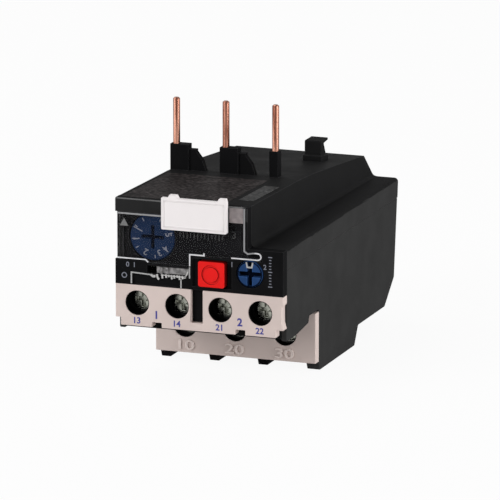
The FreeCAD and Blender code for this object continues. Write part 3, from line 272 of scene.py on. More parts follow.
@dataclass(frozen=True)
class Clear:
    """Clear or milky plastic, seen through as a thin sheet."""

    name: str
    colour: Colour
    alpha: float
    roughness: float = 0.08
    gloss: float = 0.3
    mottle: float = 0.07
    blotch: float = 2.5

    def make(self) -> bpy.types.Material:
        """Builds the finish.

        Returns:
            The new material.
        """
        graph = Graph(self.name)
        wave = graph.noise(self.blotch, 3.0)
        graph.set(Alpha=self.alpha, IOR=1.5, Specular_IOR_Level=self.gloss)
        graph.colour(graph.blend(graph.span(wave, 0, 1, 0.36, 0.62), self.colour,
                                 tuple(value * (1 - self.mottle) for value in self.colour)))
        graph.rough(graph.span(wave, self.roughness, self.roughness + 0.08))
        graph.bump(wave, 0.01, 0.5)
        return graph.material


@dataclass(frozen=True)
class Metal:
    """Drawn, rolled or plated metal with fine marks along one axis."""

    name: str
    colour: Colour
    roughness: float = 0.3
    along: Place = (1, 1, 1)
    stain: float = 0.25
    streak: Colour | None = None
    mark_size: float = 0.25
    stain_size: float = 1.8

    def make(self) -> bpy.types.Material:
        """Builds the finish.

        Returns:
            The new material.
        """
        graph = Graph(self.name)
        lines = graph.noise(self.mark_size, 3.0, self.along)
        cloud = graph.noise(self.stain_size, 3.0)
        graph.set(Metallic=1.0)
        dull = tuple(value * (1 - self.stain) for value in self.colour)
        clean = graph.blend(graph.span(cloud, 0, 1), self.colour, dull)
        share = graph.span(lines, 1, 0, 0.40, 0.60)
        graph.colour(graph.blend(share, clean, self.streak or dull))
        graph.rough(graph.span(lines, self.roughness - 0.07, self.roughness + 0.12))
        graph.bump(lines, 0.008, 0.5, 0.12)
        return graph.material


@dataclass(frozen=True)
class Ink:
    """Printed ink, a little uneven in its cover."""

    name: str
    colour: Colour

    def make(self) -> bpy.types.Material:
        """Builds the finish.

        Returns:
            The new material.
        """
        graph = Graph(self.name)
        cover = graph.noise(0.3, 2.0)
        graph.colour(graph.blend(graph.span(cover, 0, 1), self.colour,
                                 tuple(value * 0.8 for value in self.colour)))
        graph.set(IOR=1.08)
        graph.rough(graph.span(cover, 0.45, 0.6))
        graph.bump(cover, 0.004, 0.4)
        return graph.material


@dataclass(frozen=True)
class Foil:
    """Dark satin label with a faint blotched print, bare of words."""

    name: str
    dark: Colour
    light: Colour
    blot_size: float = 1.1
    cloud_size: float = 6.0

    def make(self) -> bpy.types.Material:
        """Builds the finish.

        Returns:
            The new material.
        """
        graph = Graph(self.name)
        blot = graph.noise(self.blot_size, 4.0, (1.0, 2.2, 1.0))
        cloud = graph.noise(self.cloud_size, 2.0)
        mixed = graph.blend(graph.span(blot, 0, 1, 0.42, 0.62), self.dark, self.light)
        graph.colour(graph.blend(graph.span(cloud, 0, 0.6), mixed, self.dark))
        graph.set(IOR=1.04)
        graph.rough(graph.span(blot, 0.45, 0.6))
        graph.bump(blot, 0.01, 0.4)
        return graph.material


class Finish(Enum):
    """Every finish of the relay."""

    HOUSING = Moulded("matte_housing", (0.035, 0.035, 0.035), 0.7, 0.02, gloss=0.03)
    BAND = Moulded("satin_band", (0.022, 0.022, 0.0225), 0.6, 0.015, edge_light=3.0, gloss=0.04)
    # Painted highlight for the strip along the roof's front edge.
    RUBBED = Moulded("painted_edge_highlight", (0.12, 0.12, 0.12), 0.6, 0.01, gloss=0.04)
    # A darker copy of the housing's plastic, laid on the upper housing and the hook as painted shade.
    LID = Moulded("housing_painted_shade", (0.013, 0.013, 0.0133), 0.6, 0.015, edge_light=3.0, gloss=0.04)
    # The panel's own finish, also laid on the roof's bosses as painted shade.
    PANEL = Moulded("sheer_panel_and_shade", (0.0075, 0.0075, 0.008), 0.5, 0.006, edge_light=3.0, gloss=0.03)
    # A lighter copy of the strip's beige, laid on the raised numerals as painted highlight.
    RAISED = Moulded("beige_painted_highlight", (0.74, 0.64, 0.60), 0.5, 0.01, 0.3, 0.04, 1.1, 0.2, 0.2)
    DARK = Moulded("deep_shade", (0.002, 0.002, 0.002), 0.7, 0.01, gloss=0.02)
    SHROUD = Moulded("beige_shroud", (0.62, 0.52, 0.485), 0.52, 0.012, 0.3, 0.04, 1.25, 0.3, 0.2)
    TAG = Moulded("white_tag", (0.84, 0.80, 0.80), 0.42, 0.006, 0.3, 0.01, 1.05, 0.3, 0.2)
    RED = Moulded("red_cap", (0.74, 0.014, 0.013), 0.45, 0.006, 0.3, 0.06, 1.25, 0.3, 0.12)
    # Dark red for the stop button's sides, as painted shade.
    DEEP_RED = Moulded("red_side_painted_shade", (0.12, 0.003, 0.003), 0.55, 0.006, 0.3, 0.06, 1.25, 0.3, 0.05)
    DIAL = Moulded("blue_dial", (0.011, 0.024, 0.062), 0.5, 0.006, 0.3, 0.15, 1.8, 0.3, 0.05)
    KNOB = Moulded("blue_knob", (0.017, 0.048, 0.135), 0.5, 0.006, 0.3, 0.15, 2.2, 0.4, 0.08)
    NAVY = Moulded("blue_shade", (0.002, 0.004, 0.010), 0.6, 0.006, gloss=0.02)
    INNER = Moulded("cream_inside", (0.55, 0.50, 0.42), 0.5, 0.01, 0.3, 0.04, 1.1, gloss=0.2)
    CLEAR = Clear("clear_sheet", (0.10, 0.10, 0.11), 0.03)
    # A lighter, less clear copy of the sheet for the cover's side faces, as painted highlight.
    EDGE = Clear("clear_side_highlight", (0.45, 0.45, 0.47), 0.10, 0.2)
    # Painted highlight for the cover's top and right edges.
    RIM = Clear("clear_edge_highlight", (0.42, 0.42, 0.43), 0.62, 0.2)
    # Painted glints for the cover's lower edges and tab.
    GLINT = Clear("clear_flash", (0.78, 0.78, 0.80), 0.85, 0.2)
    FROST = Clear("frosted_sheet", (0.40, 0.35, 0.35), 0.6, 0.4, 0.3, 0.4, 2.6)
    # Milky plastic for the ridge under the window, bright as painted glints.
    MILKY = Clear("milky_painted_glint", (0.66, 0.65, 0.64), 0.86, 0.3, 0.3, 0.3, 0.7)
    SMOKY = Clear("smoky_part", (0.34, 0.33, 0.33), 0.9, 0.3, 0.3, 0.6, 1.1)
    STEEL = Metal("plated_steel", (0.46, 0.47, 0.41), 0.2, (0.3, 0.3, 0.3), 0.25)
    BLACKED = Metal("blackened_steel", (0.012, 0.012, 0.012), 0.5)
    COPPER = Metal("streaked_copper", (0.46, 0.23, 0.165), 0.34, (0.6, 0.6, 0.02), 0.15,
                   (0.12, 0.035, 0.02))
    BRASS = Metal("worn_brass", (0.78, 0.62, 0.36), 0.3)
    BIMETAL = Metal("rolled_bimetal", (0.56, 0.54, 0.51), 0.34)
    # White print for the knob's pointer, and painted highlight on the window's edges.
    WHITE_INK = Ink("white_print_and_highlight", (0.42, 0.42, 0.42))
    PALE_INK = Ink("pale_ink", (0.22, 0.23, 0.27))
    GREY_INK = Ink("grey_ink", (0.055, 0.055, 0.055))
    ARROW = Ink("arrow_ink", (0.20, 0.20, 0.20))
    BLUE_INK = Ink("blue_ink", (0.075, 0.075, 0.30))
    LABEL = Foil("foil_label", (0.009, 0.008, 0.008), (0.075, 0.066, 0.066))
    PATCH = Foil("foil_patch", (0.030, 0.030, 0.030), (0.125, 0.125, 0.125))

    def material(self) -> bpy.types.Material:
        """Gives the finish's material, made once."""
        found = bpy.data.materials.get(self.value.name)
        return found or self.value.make()


# ------------------------------------------------------------------ shapes


def link(thing: bpy.types.Object) -> None:
    """Puts an object in the scene."""
    bpy.context.scene.collection.objects.link(thing)


class Shape:
    """A mesh under construction, in millimetres."""

    def __init__(self, node: str = "") -> None:
        """Starts a mesh.

        Args:
            node: a node whose own shape it starts from, or blank for an empty mesh.
        """
        self.mesh = bmesh.new()
        if node:
            self.mesh.from_mesh(bpy.data.objects[node].data)
            bmesh.ops.transform(self.mesh, matrix=Matrix.Scale(1 / MM, 4), verts=self.mesh.verts[:])
            bmesh.ops.remove_doubles(self.mesh, verts=self.mesh.verts[:], dist=WELD)

    def slab(self, outline: list[Point], low: float, high: float) -> None:
        """Adds a plate whose outline is seen from the front.

        Args:
            outline: the corners, as (x, z).
            low: the Y of its front face.
            high: the Y of its back face.
        """
        corners = [self.mesh.verts.new((x, low, z)) for x, z in outline]
        face = self.mesh.faces.new(corners)
        moved = bmesh.ops.extrude_face_region(self.mesh, geom=[face])["geom"]
        bmesh.ops.translate(self.mesh, vec=(0, high - low, 0),
                            verts=[part for part in moved if isinstance(part, bmesh.types.BMVert)])
        bmesh.ops.recalc_face_normals(self.mesh, faces=self.mesh.faces[:])

    def stroke(self, path: list[Point], width: float, low: float, high: float) -> None:
        """Adds a narrow strip along an open path seen from the front.

        Args:
            path: the points of its middle line, as (x, z).
            width: its width.
            low: the Y of its front face.
            high: the Y of its back face.
        """
        points = [Vector(point) for point in path]
        normals = []
        for start, end in zip(points, points[1:]):
            run = (end - start).normalized()
            normals.append(Vector((-run.y, run.x)))
        sides = []
        for number, point in enumerate(points):
            before = normals[max(number - 1, 0)]
            after = normals[min(number, len(normals) - 1)]
            sides.append((before + after) * (width / 2 / (1 + before.dot(after))))
        outline = [point + side for point, side in zip(points, sides)]
        outline += [point - side for point, side in zip(points[::-1], sides[::-1])]
        self.slab([tuple(point) for point in outline], low, high)

    def ring(self, centre: Place, outer: float, inner: float, depth: float,
             steps: int = 64) -> None:
        """Adds a ring that faces the front.

        Args:
            centre: the middle of its front face.
            outer: its outer radius.
            inner: its inner radius.
            depth: its thickness towards the back.
            steps: the number of sides.
        """
        loops = []
        for radius, y in ((inner, 0), (outer, 0), (outer, depth), (inner, depth)):
            loops.append([self.mesh.verts.new((centre[0] + radius * math.cos(angle), centre[1] + y,
                                               centre[2] + radius * math.sin(angle)))
                          for angle in (math.tau * step / steps for step in range(steps))])
        for first, second in zip(loops, loops[1:] + loops[:1]):
            for step in range(steps):
                after = (step + 1) % steps
                self.mesh.faces.new((first[step], first[after], second[after], second[step]))
        bmesh.ops.recalc_face_normals(self.mesh, faces=self.mesh.faces[:])

    def block(self, low: Place, high: Place, turn: Matrix | None = None) -> None:
        """Adds a box between two corners.

        Args:
            low: the lowest corner.
            high: the highest corner.
            turn: a transform laid over the box.
        """
        size = Vector(high) - Vector(low)
        middle = (Vector(high) + Vector(low)) / 2
        matrix = Matrix.Translation(middle) @ Matrix.Diagonal((*size, 1))
        bmesh.ops.create_cube(self.mesh, size=1, matrix=(turn or Matrix.Identity(4)) @ matrix)

    def words(self, text: str, height: float, matrix: Matrix, thick: float = 0.02,
              bold: float = 0.0) -> None:
        """Adds plain numerals or signs.

        Args:
            text: the characters.
            height: the height of a capital.
            matrix: where their middle lies; they face +Z before it.
            thick: how far they stand up.
            bold: how far their outlines are pushed out, as a share of the height.
        """
        curve = bpy.data.curves.new("numerals", "FONT")
        curve.body = text
        curve.align_x = "CENTER"
        curve.align_y = "CENTER"
        curve.size = height / CAPITAL
        curve.extrude = thick / 2
        curve.offset = bold * height
        curve.resolution_u = 3
        holder = bpy.data.objects.new("numerals", curve)
        link(holder)
        bpy.context.view_layer.update()
        graph = bpy.context.evaluated_depsgraph_get()
        flat = bpy.data.meshes.new_from_object(holder.evaluated_get(graph))
        flat.transform(matrix)
        self.mesh.from_mesh(flat)
        bpy.data.objects.remove(holder)
        bpy.data.curves.remove(curve)
        bpy.data.meshes.remove(flat)

    def chamfer(self, width: float) -> None:
        """Breaks every edge between faces that stand at more than 30 degrees.

        Args:
            width: the width of the chamfer.
        """
        sharp = [edge for edge in self.mesh.edges if len(edge.link_faces) == 2
                 and edge.calc_face_angle() > math.radians(30)]
        bmesh.ops.bevel(self.mesh, geom=sharp, offset=width, segments=1, profile=0.5,
                        affect="EDGES", clamp_overlap=True, material=-1)

    def save(self, name: str, *finishes: Finish, body: str = "casing") -> bpy.types.Object:
        """Saves the shape as a piece that rides on a body.

        Args:
            name: the piece's name.
            *finishes: its finishes, by the faces' material index.
            body: the body that it moves with.

        Returns:
            The new object.
        """
        data = bpy.data.meshes.new(name)
        bmesh.ops.transform(self.mesh, matrix=Matrix.Scale(MM, 4), verts=self.mesh.verts[:])
        self.mesh.to_mesh(data)
        self.mesh.free()
        piece = bpy.data.objects.new(name, data)
        link(piece)
        for finish in finishes:
            data.materials.append(finish.material())
        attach(piece, body)
        log.info("piece %s on %s: %d faces", name, body, len(data.polygons))
        return piece


class Facing(Enum):
    """Which way a flat mark looks."""

    FRONT = Euler((math.radians(90), 0, 0)).to_matrix().to_4x4()

    def at(self, x: float, y: float, z: float, turn: float = 0.0, wide: float = 1.0) -> Matrix:
        """Gives the transform of a mark.

        Args:
            x: its place across.
            y: its place in depth.
            z: its height.
            turn: its turn in its own plane, in degrees.
            wide: how much it is stretched across.

        Returns:
            The transform from flat to place.
        """
        return (Matrix.Translation((x, y, z)) @ self.value
                @ Matrix.Rotation(math.radians(turn), 4, "Z") @ Matrix.Diagonal((wide, 1, 1, 1)))


def rounded(node: str, finish: Finish, body: str, width: float, segments: int = 2,
            merge: bool = True) -> bpy.types.Object:
    """Makes a piece from a node's own shape, with its edges rounded.

    Args:
        node: the node that it stands for.
        finish: its finish.
        body: the body that it moves with.
        width: the width of the rounding in millimetres.
        segments: how many faces the rounding has.
        merge: whether faces in one plane become one face before the rounding.

    Returns:
        The new object.
    """
    shape = Shape(node)
    if merge:
        bmesh.ops.dissolve_limit(shape.mesh, angle_limit=FLAT, use_dissolve_boundaries=False,
                                 verts=shape.mesh.verts[:], edges=shape.mesh.edges[:],
                                 delimit={"NORMAL"})
    for face in shape.mesh.faces:
        face.material_index = 0
        face.smooth = True
    piece = shape.save(node + "_dressed", finish, body=body)
    piece.data.set_sharp_from_angle(angle=SHARP)
    bevel = piece.modifiers.new("edges", "BEVEL")
    bevel.width = width * MM
    bevel.segments = segments
    bevel.limit_method = "ANGLE"
    bevel.angle_limit = SHARP
    bevel.miter_outer = "MITER_ARC"
    bevel.harden_normals = True
    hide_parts(node)
    return piece


def split(piece: bpy.types.Object, height: float) -> None:
    """Divides a piece's faces along a level, without parting the piece.

    Args:
        piece: the piece.
        height: the Z of the level in millimetres.
    """
    mesh = bmesh.new()
    mesh.from_mesh(piece.data)
    bmesh.ops.bisect_plane(mesh, geom=mesh.verts[:] + mesh.edges[:] + mesh.faces[:],
                           plane_co=(0, 0, height * MM), plane_no=(0, 0, 1))
    mesh.to_mesh(piece.data)
    mesh.free()


def repaint(piece: bpy.types.Object, finish: Finish,
            chosen: Callable[[Vector, Vector], bool]) -> None:
    """Gives some faces of a piece another finish.

    Args:
        piece: the piece.
        finish: the other finish.
        chosen: a test of a face's middle, in millimetres, and its normal.
    """
    piece.data.materials.append(finish.material())
    index = len(piece.data.materials) - 1
    for polygon in piece.data.polygons:
        if chosen(polygon.center / MM, polygon.normal):
            polygon.material_index = index


def low_y(node: str) -> float:
    """Gives the Y of a node's front, in millimetres."""
    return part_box(node)[0][1] / MM


# ------------------------------------------------------------------ sub-assemblies


@dataclass
class Casing:
    """The black housings, the front panel and the hook."""

    label_low: Point = (-21.4, -41.9)
    label_high: Point = (5.9, -9.0)
    label_thick: float = 0.10
    patch_low: Point = (7.4, -35.2)
    patch_high: Point = (11.4, -16.0)
    patch_thick: float = 0.12
    sunk: float = 0.02
    wear_left: float = -22.2
    wear_right: float = 11.6
    side_wall: float = 22.2
    boss_foot: float = 0.6
    band: float = 44.05
    roof_front: float = 47.7
    roof_middle: float = 46.6
    roof_run: float = 38.0

    def roof(self, y: float) -> float:
        """Gives the height of the roof at a Y."""
        share = (y - FRONT) / self.roof_run
        return self.roof_front + (self.roof_middle - self.roof_front) * share

    def sheet(self, name: str, low: Point, high: Point, thick: float, finish: Finish) -> None:
        """Lays a thin plate on the roof.

        Args:
            name: the piece's name.
            low: its lowest x and y.
            high: its highest x and y.
            thick: its thickness.
            finish: its finish.
        """
        shape = Shape()
        shape.block((low[0], low[1], 0), (high[0], high[1], thick))
        for vertex in shape.mesh.verts:
            vertex.co.z += self.roof(vertex.co.y) - self.sunk
        shape.chamfer(0.05)
        shape.save(name, finish)

    def wear(self) -> None:
        """Lays the strip of painted highlight along the front edge of the roof."""
        wear = Shape()
        wear.block((self.wear_left, FRONT + 0.04, self.roof_front - 0.32),
                   (self.wear_right, FRONT + 0.45, self.roof_front + 0.02))
        wear.chamfer(0.08)
        wear.save("lid_edge", Finish.RUBBED)

    def build(self) -> None:
        """Dresses the housings, lays the roof label and its plain patch, and paints the edge
        highlight.
        """
        rounded("lower_housing", Finish.HOUSING, "casing", 0.3)
        # The upper housing takes a darker copy of the housing's plastic as painted shade; its outer
        # sides and back get the lighter housing finish back.
        lid = rounded("upper_housing", Finish.LID, "casing", 0.3)
        repaint(lid, Finish.HOUSING, lambda middle, normal: abs(normal.x) > 0.9
                and abs(middle.x) > self.side_wall or normal.y > 0.9 and middle.y > -FRONT)
        # The bosses on the roof take the panel's darker finish as painted shade.
        repaint(lid, Finish.PANEL, lambda middle, normal: middle.z > self.roof_front + self.boss_foot)
        # The hook takes the same darker copy of the housing's plastic, as painted shade.
        rounded("mounting_hook", Finish.LID, "casing", 0.18)
        rounded("control_terminal_block", Finish.PANEL, "casing", 0.15)
        rounded("load_terminal_block", Finish.PANEL, "casing", 0.25)
        panel = rounded("front_panel", Finish.PANEL, "casing", 0.15, merge=False)
        split(panel, self.band)
        repaint(panel, Finish.BAND, lambda middle, normal: middle.z > self.band and normal.y < -0.9)
        self.sheet("roof_label", self.label_low, self.label_high, self.label_thick, Finish.LABEL)
        self.sheet("roof_patch", self.patch_low, self.patch_high, self.patch_thick, Finish.PATCH)
        # The lighter strip along the roof's front edge is a painted highlight.
        self.wear()


@dataclass
class TerminalStrips:
    """The two pale strips, with their numerals, and the screws behind them."""

    control_x: tuple[float, ...] = (-16.7, -6.0, 5.6, 16.3)
    control_z: float = 20.8
    load_x: tuple[float, ...] = (-12.9, 0.6, 14.1)
    load_z: float = 9.7
    hole: float = 3.18
    liner: float = 0.2
    liner_start: float = 0.28
    control_marks: tuple[str, ...] = ("13", "14", "21", "22")
    control_mark_z: float = 16.2
    pair_x: tuple[float, ...] = (-11.5, 10.9)
    pair_z: float = 18.0
    load_marks: tuple[str, ...] = ("10", "20", "30")
    load_mark_z: float = 4.4

    def strip(self, node: str, width: float, centres: tuple[float, ...], height: float,
              depth: float) -> float:
        """Dresses a strip and lines its holes near-black, as black tubes darkened by painted shade.

        Args:
            node: the strip's node.
            width: the rounding of its edges.
            centres: the X of its holes.
            height: the Z of its holes.
            depth: how deep the liners reach.

        Returns:
            The Y of its front.
        """
        rounded(node, Finish.SHROUD, "casing", width)
        front = low_y(node)
        # Near-black liners: the block's black tubes in the holes, darkened further as painted shade.
        liners = Shape()
        for x in centres:
            liners.ring((x, front + self.liner_start, height), self.hole, self.hole - self.liner,
                        depth)
        liners.save(node + "_liners", Finish.DARK)
        return front

    def numerals(self, front: float) -> None:
        """Prints the numerals of the control terminals.

        Args:
            front: the Y of the strip's front.
        """
        marks = Shape()
        for x, text in zip(self.control_x, self.control_marks):
            marks.words(text, 1.6, Facing.FRONT.at(x - 0.1, front - SKIN, self.control_mark_z),
                        bold=0.035)
        for number, x in enumerate(self.pair_x, 1):
            marks.words(str(number), 2.0, Facing.FRONT.at(x, front - SKIN, self.pair_z), bold=0.045)
        marks.save("control_numerals", Finish.BLUE_INK)

    def raised_numerals(self, front: float) -> None:
        """Raises the numerals of the load terminals, lighter than the strip as painted highlight.

        Args:
            front: the Y of the strip's front.
        """
        raised = Shape()
        for x, text in zip(self.load_x, self.load_marks):
            raised.words(text, 2.6, Facing.FRONT.at(x, front - 0.1, self.load_mark_z, wide=1.5),
                         thick=0.5, bold=0.02)
        # The lighter beige on the numerals is painted highlight.
        raised.save("load_numerals", Finish.RAISED)

    def build(self) -> None:
        """Dresses the strips, their screws and their numerals."""
        front = self.strip("control_terminal_cover", 0.22, self.control_x, self.control_z, 2.5)
        load_front = self.strip("load_terminal_cover", 0.25, self.load_x, self.load_z, 2.3)
        rounded("control_terminal_screws", Finish.STEEL, "casing", 0.12)
        rounded("load_terminal_screws", Finish.STEEL, "casing", 0.12)
        self.numerals(front)
        self.raised_numerals(load_front)


@dataclass
class Cover:
    """The clear hinged cover, with painted highlights along its edges, and the white tag clipped in
    it.
    """

    left: float = -22.0
    right: float = 12.3
    middle: float = -2.7
    tab: float = 16.7
    slot: float = -14.0
    step: float = 34.5
    shoulder: float = 36.2
    frost_low: Point = (8.1, 43.6)
    frost_high: Point = (11.8, 47.4)
    tag_lift: float = 0.04
    tag_low: Point = (-8.9, 41.5)
    tag_high: Point = (7.1, 48.2)
    border_width: float = 0.28

    def rim(self, front: float) -> None:
        """Adds the painted highlights along the cover's top and right edges.

        Args:
            front: the Y of the cover's front.
        """
        low, high = front - PRINT, front + HIGHLIGHT_DEPTH
        lines = Shape()
        lines.stroke([(self.left, 43.8), (-9.9, 43.8)], 0.42, low, high)
        lines.stroke([(self.right - 0.22, 47.4), (self.right - 0.22, 36.5), (self.right + 0.7, 35.9),
                      (self.right + 2.0, 36.15), (self.tab - 1.9, self.shoulder)], 0.36, low, high)
        lines.save("cover_rim_highlight", Finish.RIM, body="cover")

    def glints(self, front: float) -> None:
        """Adds the painted glints along the cover's lower edges and around its tab.

        Args:
            front: the Y of the cover's front.
        """
        low, high = front - PRINT, front + HIGHLIGHT_DEPTH
        glints = Shape()
        glints.stroke([(self.left, 32.25), (self.slot - 0.4, 32.25), (self.slot + 0.3, 31.6)],
                      0.3, low, high)
        glints.stroke([(self.middle + 0.2, 31.5), (self.middle + 0.2, self.step), (1.3, self.step),
                       (1.3, 35.1)], 0.34, low, high)
        turn = [(self.tab - 1.1 + 0.95 * math.sin(angle), 35.35 + 0.85 * math.cos(angle))
                for angle in (math.pi * step / 10 for step in range(11))]
        glints.stroke([(self.tab - 1.9, self.shoulder)] + turn + [(8.6, self.step)], 0.32, low, high)
        glints.save("cover_glints", Finish.GLINT, body="cover")

    def arrow(self, front: float) -> None:
        """Prints the arrow head over the dial's corner.

        Args:
            front: the Y of the cover's front.
        """
        arrow = Shape()
        arrow.slab([(-21.25, 40.6), (-19.0, 40.6), (-20.1, 42.6)], front - 0.03, front + 0.01)
        arrow.save("cover_arrow", Finish.ARROW, body="cover")

    def frosting(self, front: float) -> None:
        """Frosts the cover beside the tag.

        Args:
            front: the Y of the cover's front.
        """
        patch = Shape()
        patch.block((self.frost_low[0], front - 0.03, self.frost_low[1]),
                    (self.frost_high[0], front + 0.1, self.frost_high[1]))
        patch.chamfer(0.04)
        patch.save("cover_frosting", Finish.FROST, body="cover")

    def border(self) -> None:
        """Embosses a narrow plain border on the blank tag."""
        front = low_y("marker_tag") - self.tag_lift
        low, high = self.tag_low, self.tag_high
        border = Shape()
        corners = [low, (high[0], low[1]), high, (low[0], high[1]), low]
        for start, end in zip(corners, corners[1:]):
            border.stroke([start, end], self.border_width, front - 0.07, front + 0.03)
        border.save("tag_border", Finish.TAG, body="cover")

    def build(self) -> None:
        """Dresses the cover, the painted highlights on its edges and the tag."""
        plate = rounded("clear_cover", Finish.CLEAR, "cover", 0.12, 1)
        # The cover's side faces take a lighter, less clear copy of the sheet as painted highlight.
        repaint(plate, Finish.EDGE, lambda middle, normal: abs(normal.y) < 0.7)
        front = low_y("clear_cover")
        self.rim(front)
        self.glints(front)
        self.arrow(front)
        self.frosting(front)
        tag = rounded("marker_tag", Finish.TAG, "cover", 0.22)
        tag.data.transform(Matrix.Translation((0, -self.tag_lift * MM, 0)))
        self.border()


@dataclass
class Controls:
    """The dial, the stop button, the reset knob and the test slider."""

    dial: Point = (-13.1, 37.8)
    dial_slot: float = 0.7
    numerals: tuple[str, ...] = ("1", "2", "3", "4", "5")
    numeral_turns: tuple[int, ...] = (100, 155, 205, 232, 282)
    numeral_reach: float = 4.3
    tick_turns: tuple[int, ...] = (25, 75, 130, 172, 235, 262, 300, 330)
    hand_turn: int = -65
    knob: Point = (13.64, 30.8)
    knob_slot: float = 1.4

    def cross(self, name: str, centre: Point, y: float, reach: float, width: float,
              body: str) -> None:
        """Shades the floor of a cross slot.

        Args:
            name: the piece's name.
            centre: its middle, as (x, z).
            y: the Y of its face.
            reach: half its length.
            width: its width.
            body: the body that it moves with.
        """
        x, z = centre
        half = width / 2
        shape = Shape()
        shape.block((x - reach, y, z - half), (x + reach, y + 0.04, z + half))
        shape.block((x - half, y - 0.01, z - reach), (x + half, y + 0.03, z + reach))
        shape.save(name, Finish.NAVY, body=body)

    def tick(self, ink: Shape, turn: float, half: float, start: float, end: float) -> None:
        """Prints one radial line on the dial.

        Args:
            ink: the shape that takes it.
            turn: its turn about the dial, in degrees.
            half: half its width.
            start: where it starts from the middle.
            end: where it ends.
        """
        place = Matrix.Translation((self.dial[0], low_y("current_dial"), self.dial[1]))
        ink.block((-half, -0.01, start), (half, 0.01, end),
                  place @ Matrix.Rotation(math.radians(turn), 4, "Y"))

    def scale(self) -> None:
        """Prints the ticks and numerals on the dial and shades its slot."""
        front = low_y("current_dial")
        ink = Shape()
        x, z = self.dial
        for turn in self.tick_turns:
            self.tick(ink, turn, 0.14, 4.6, 5.5)
        self.tick(ink, self.hand_turn, 0.15, 3.0, 5.6)
        for turn, text in zip(self.numeral_turns, self.numerals):
            angle = math.radians(turn)
            across, up = self.numeral_reach * math.sin(angle), self.numeral_reach * math.cos(angle)
            ink.words(text, 1.7, Facing.FRONT.at(x - across, front - SKIN, z + up, turn), bold=0.02)
        ink.save("dial_scale", Finish.PALE_INK, body="dial")
        self.cross("dial_slot_floor", self.dial, front + self.dial_slot, 2.95, 0.85, "dial")

    def pointer(self) -> None:
        """Prints the pointer of the reset knob and shades its slots and its border."""
        front = low_y("reset_knob")
        x, z = self.knob
        ink = Shape()
        ink.stroke([(x - 0.85, z + 3.1), (x - 0.6, z + 1.8), (x + 0.6, z + 1.8), (x + 0.85, z + 3.1)],
                   0.4, front - PRINT, front + PRINT)
        ink.save("knob_pointer", Finish.WHITE_INK, body="knob")
        border = Shape()
        border.ring((x, front - 0.01, z), 3.36, 3.02, 0.03)
        border.save("knob_border", Finish.NAVY, body="knob")
        self.cross("knob_slot_floor", self.knob, front + self.knob_slot, 3.05, 1.25, "knob")

    def build(self) -> None:
        """Dresses the controls."""
        rounded("current_dial", Finish.DIAL, "dial", 0.2)
        button = rounded("stop_button", Finish.RED, "stop", 0.12)
        # The button's sides take a dark red as painted shade.
        repaint(button, Finish.DEEP_RED, lambda middle, normal: normal.y > -0.2)
        rounded("reset_knob", Finish.KNOB, "knob", 0.2)
        rounded("test_slider", Finish.SMOKY, "test", 0.15)
        self.scale()
        self.pointer()


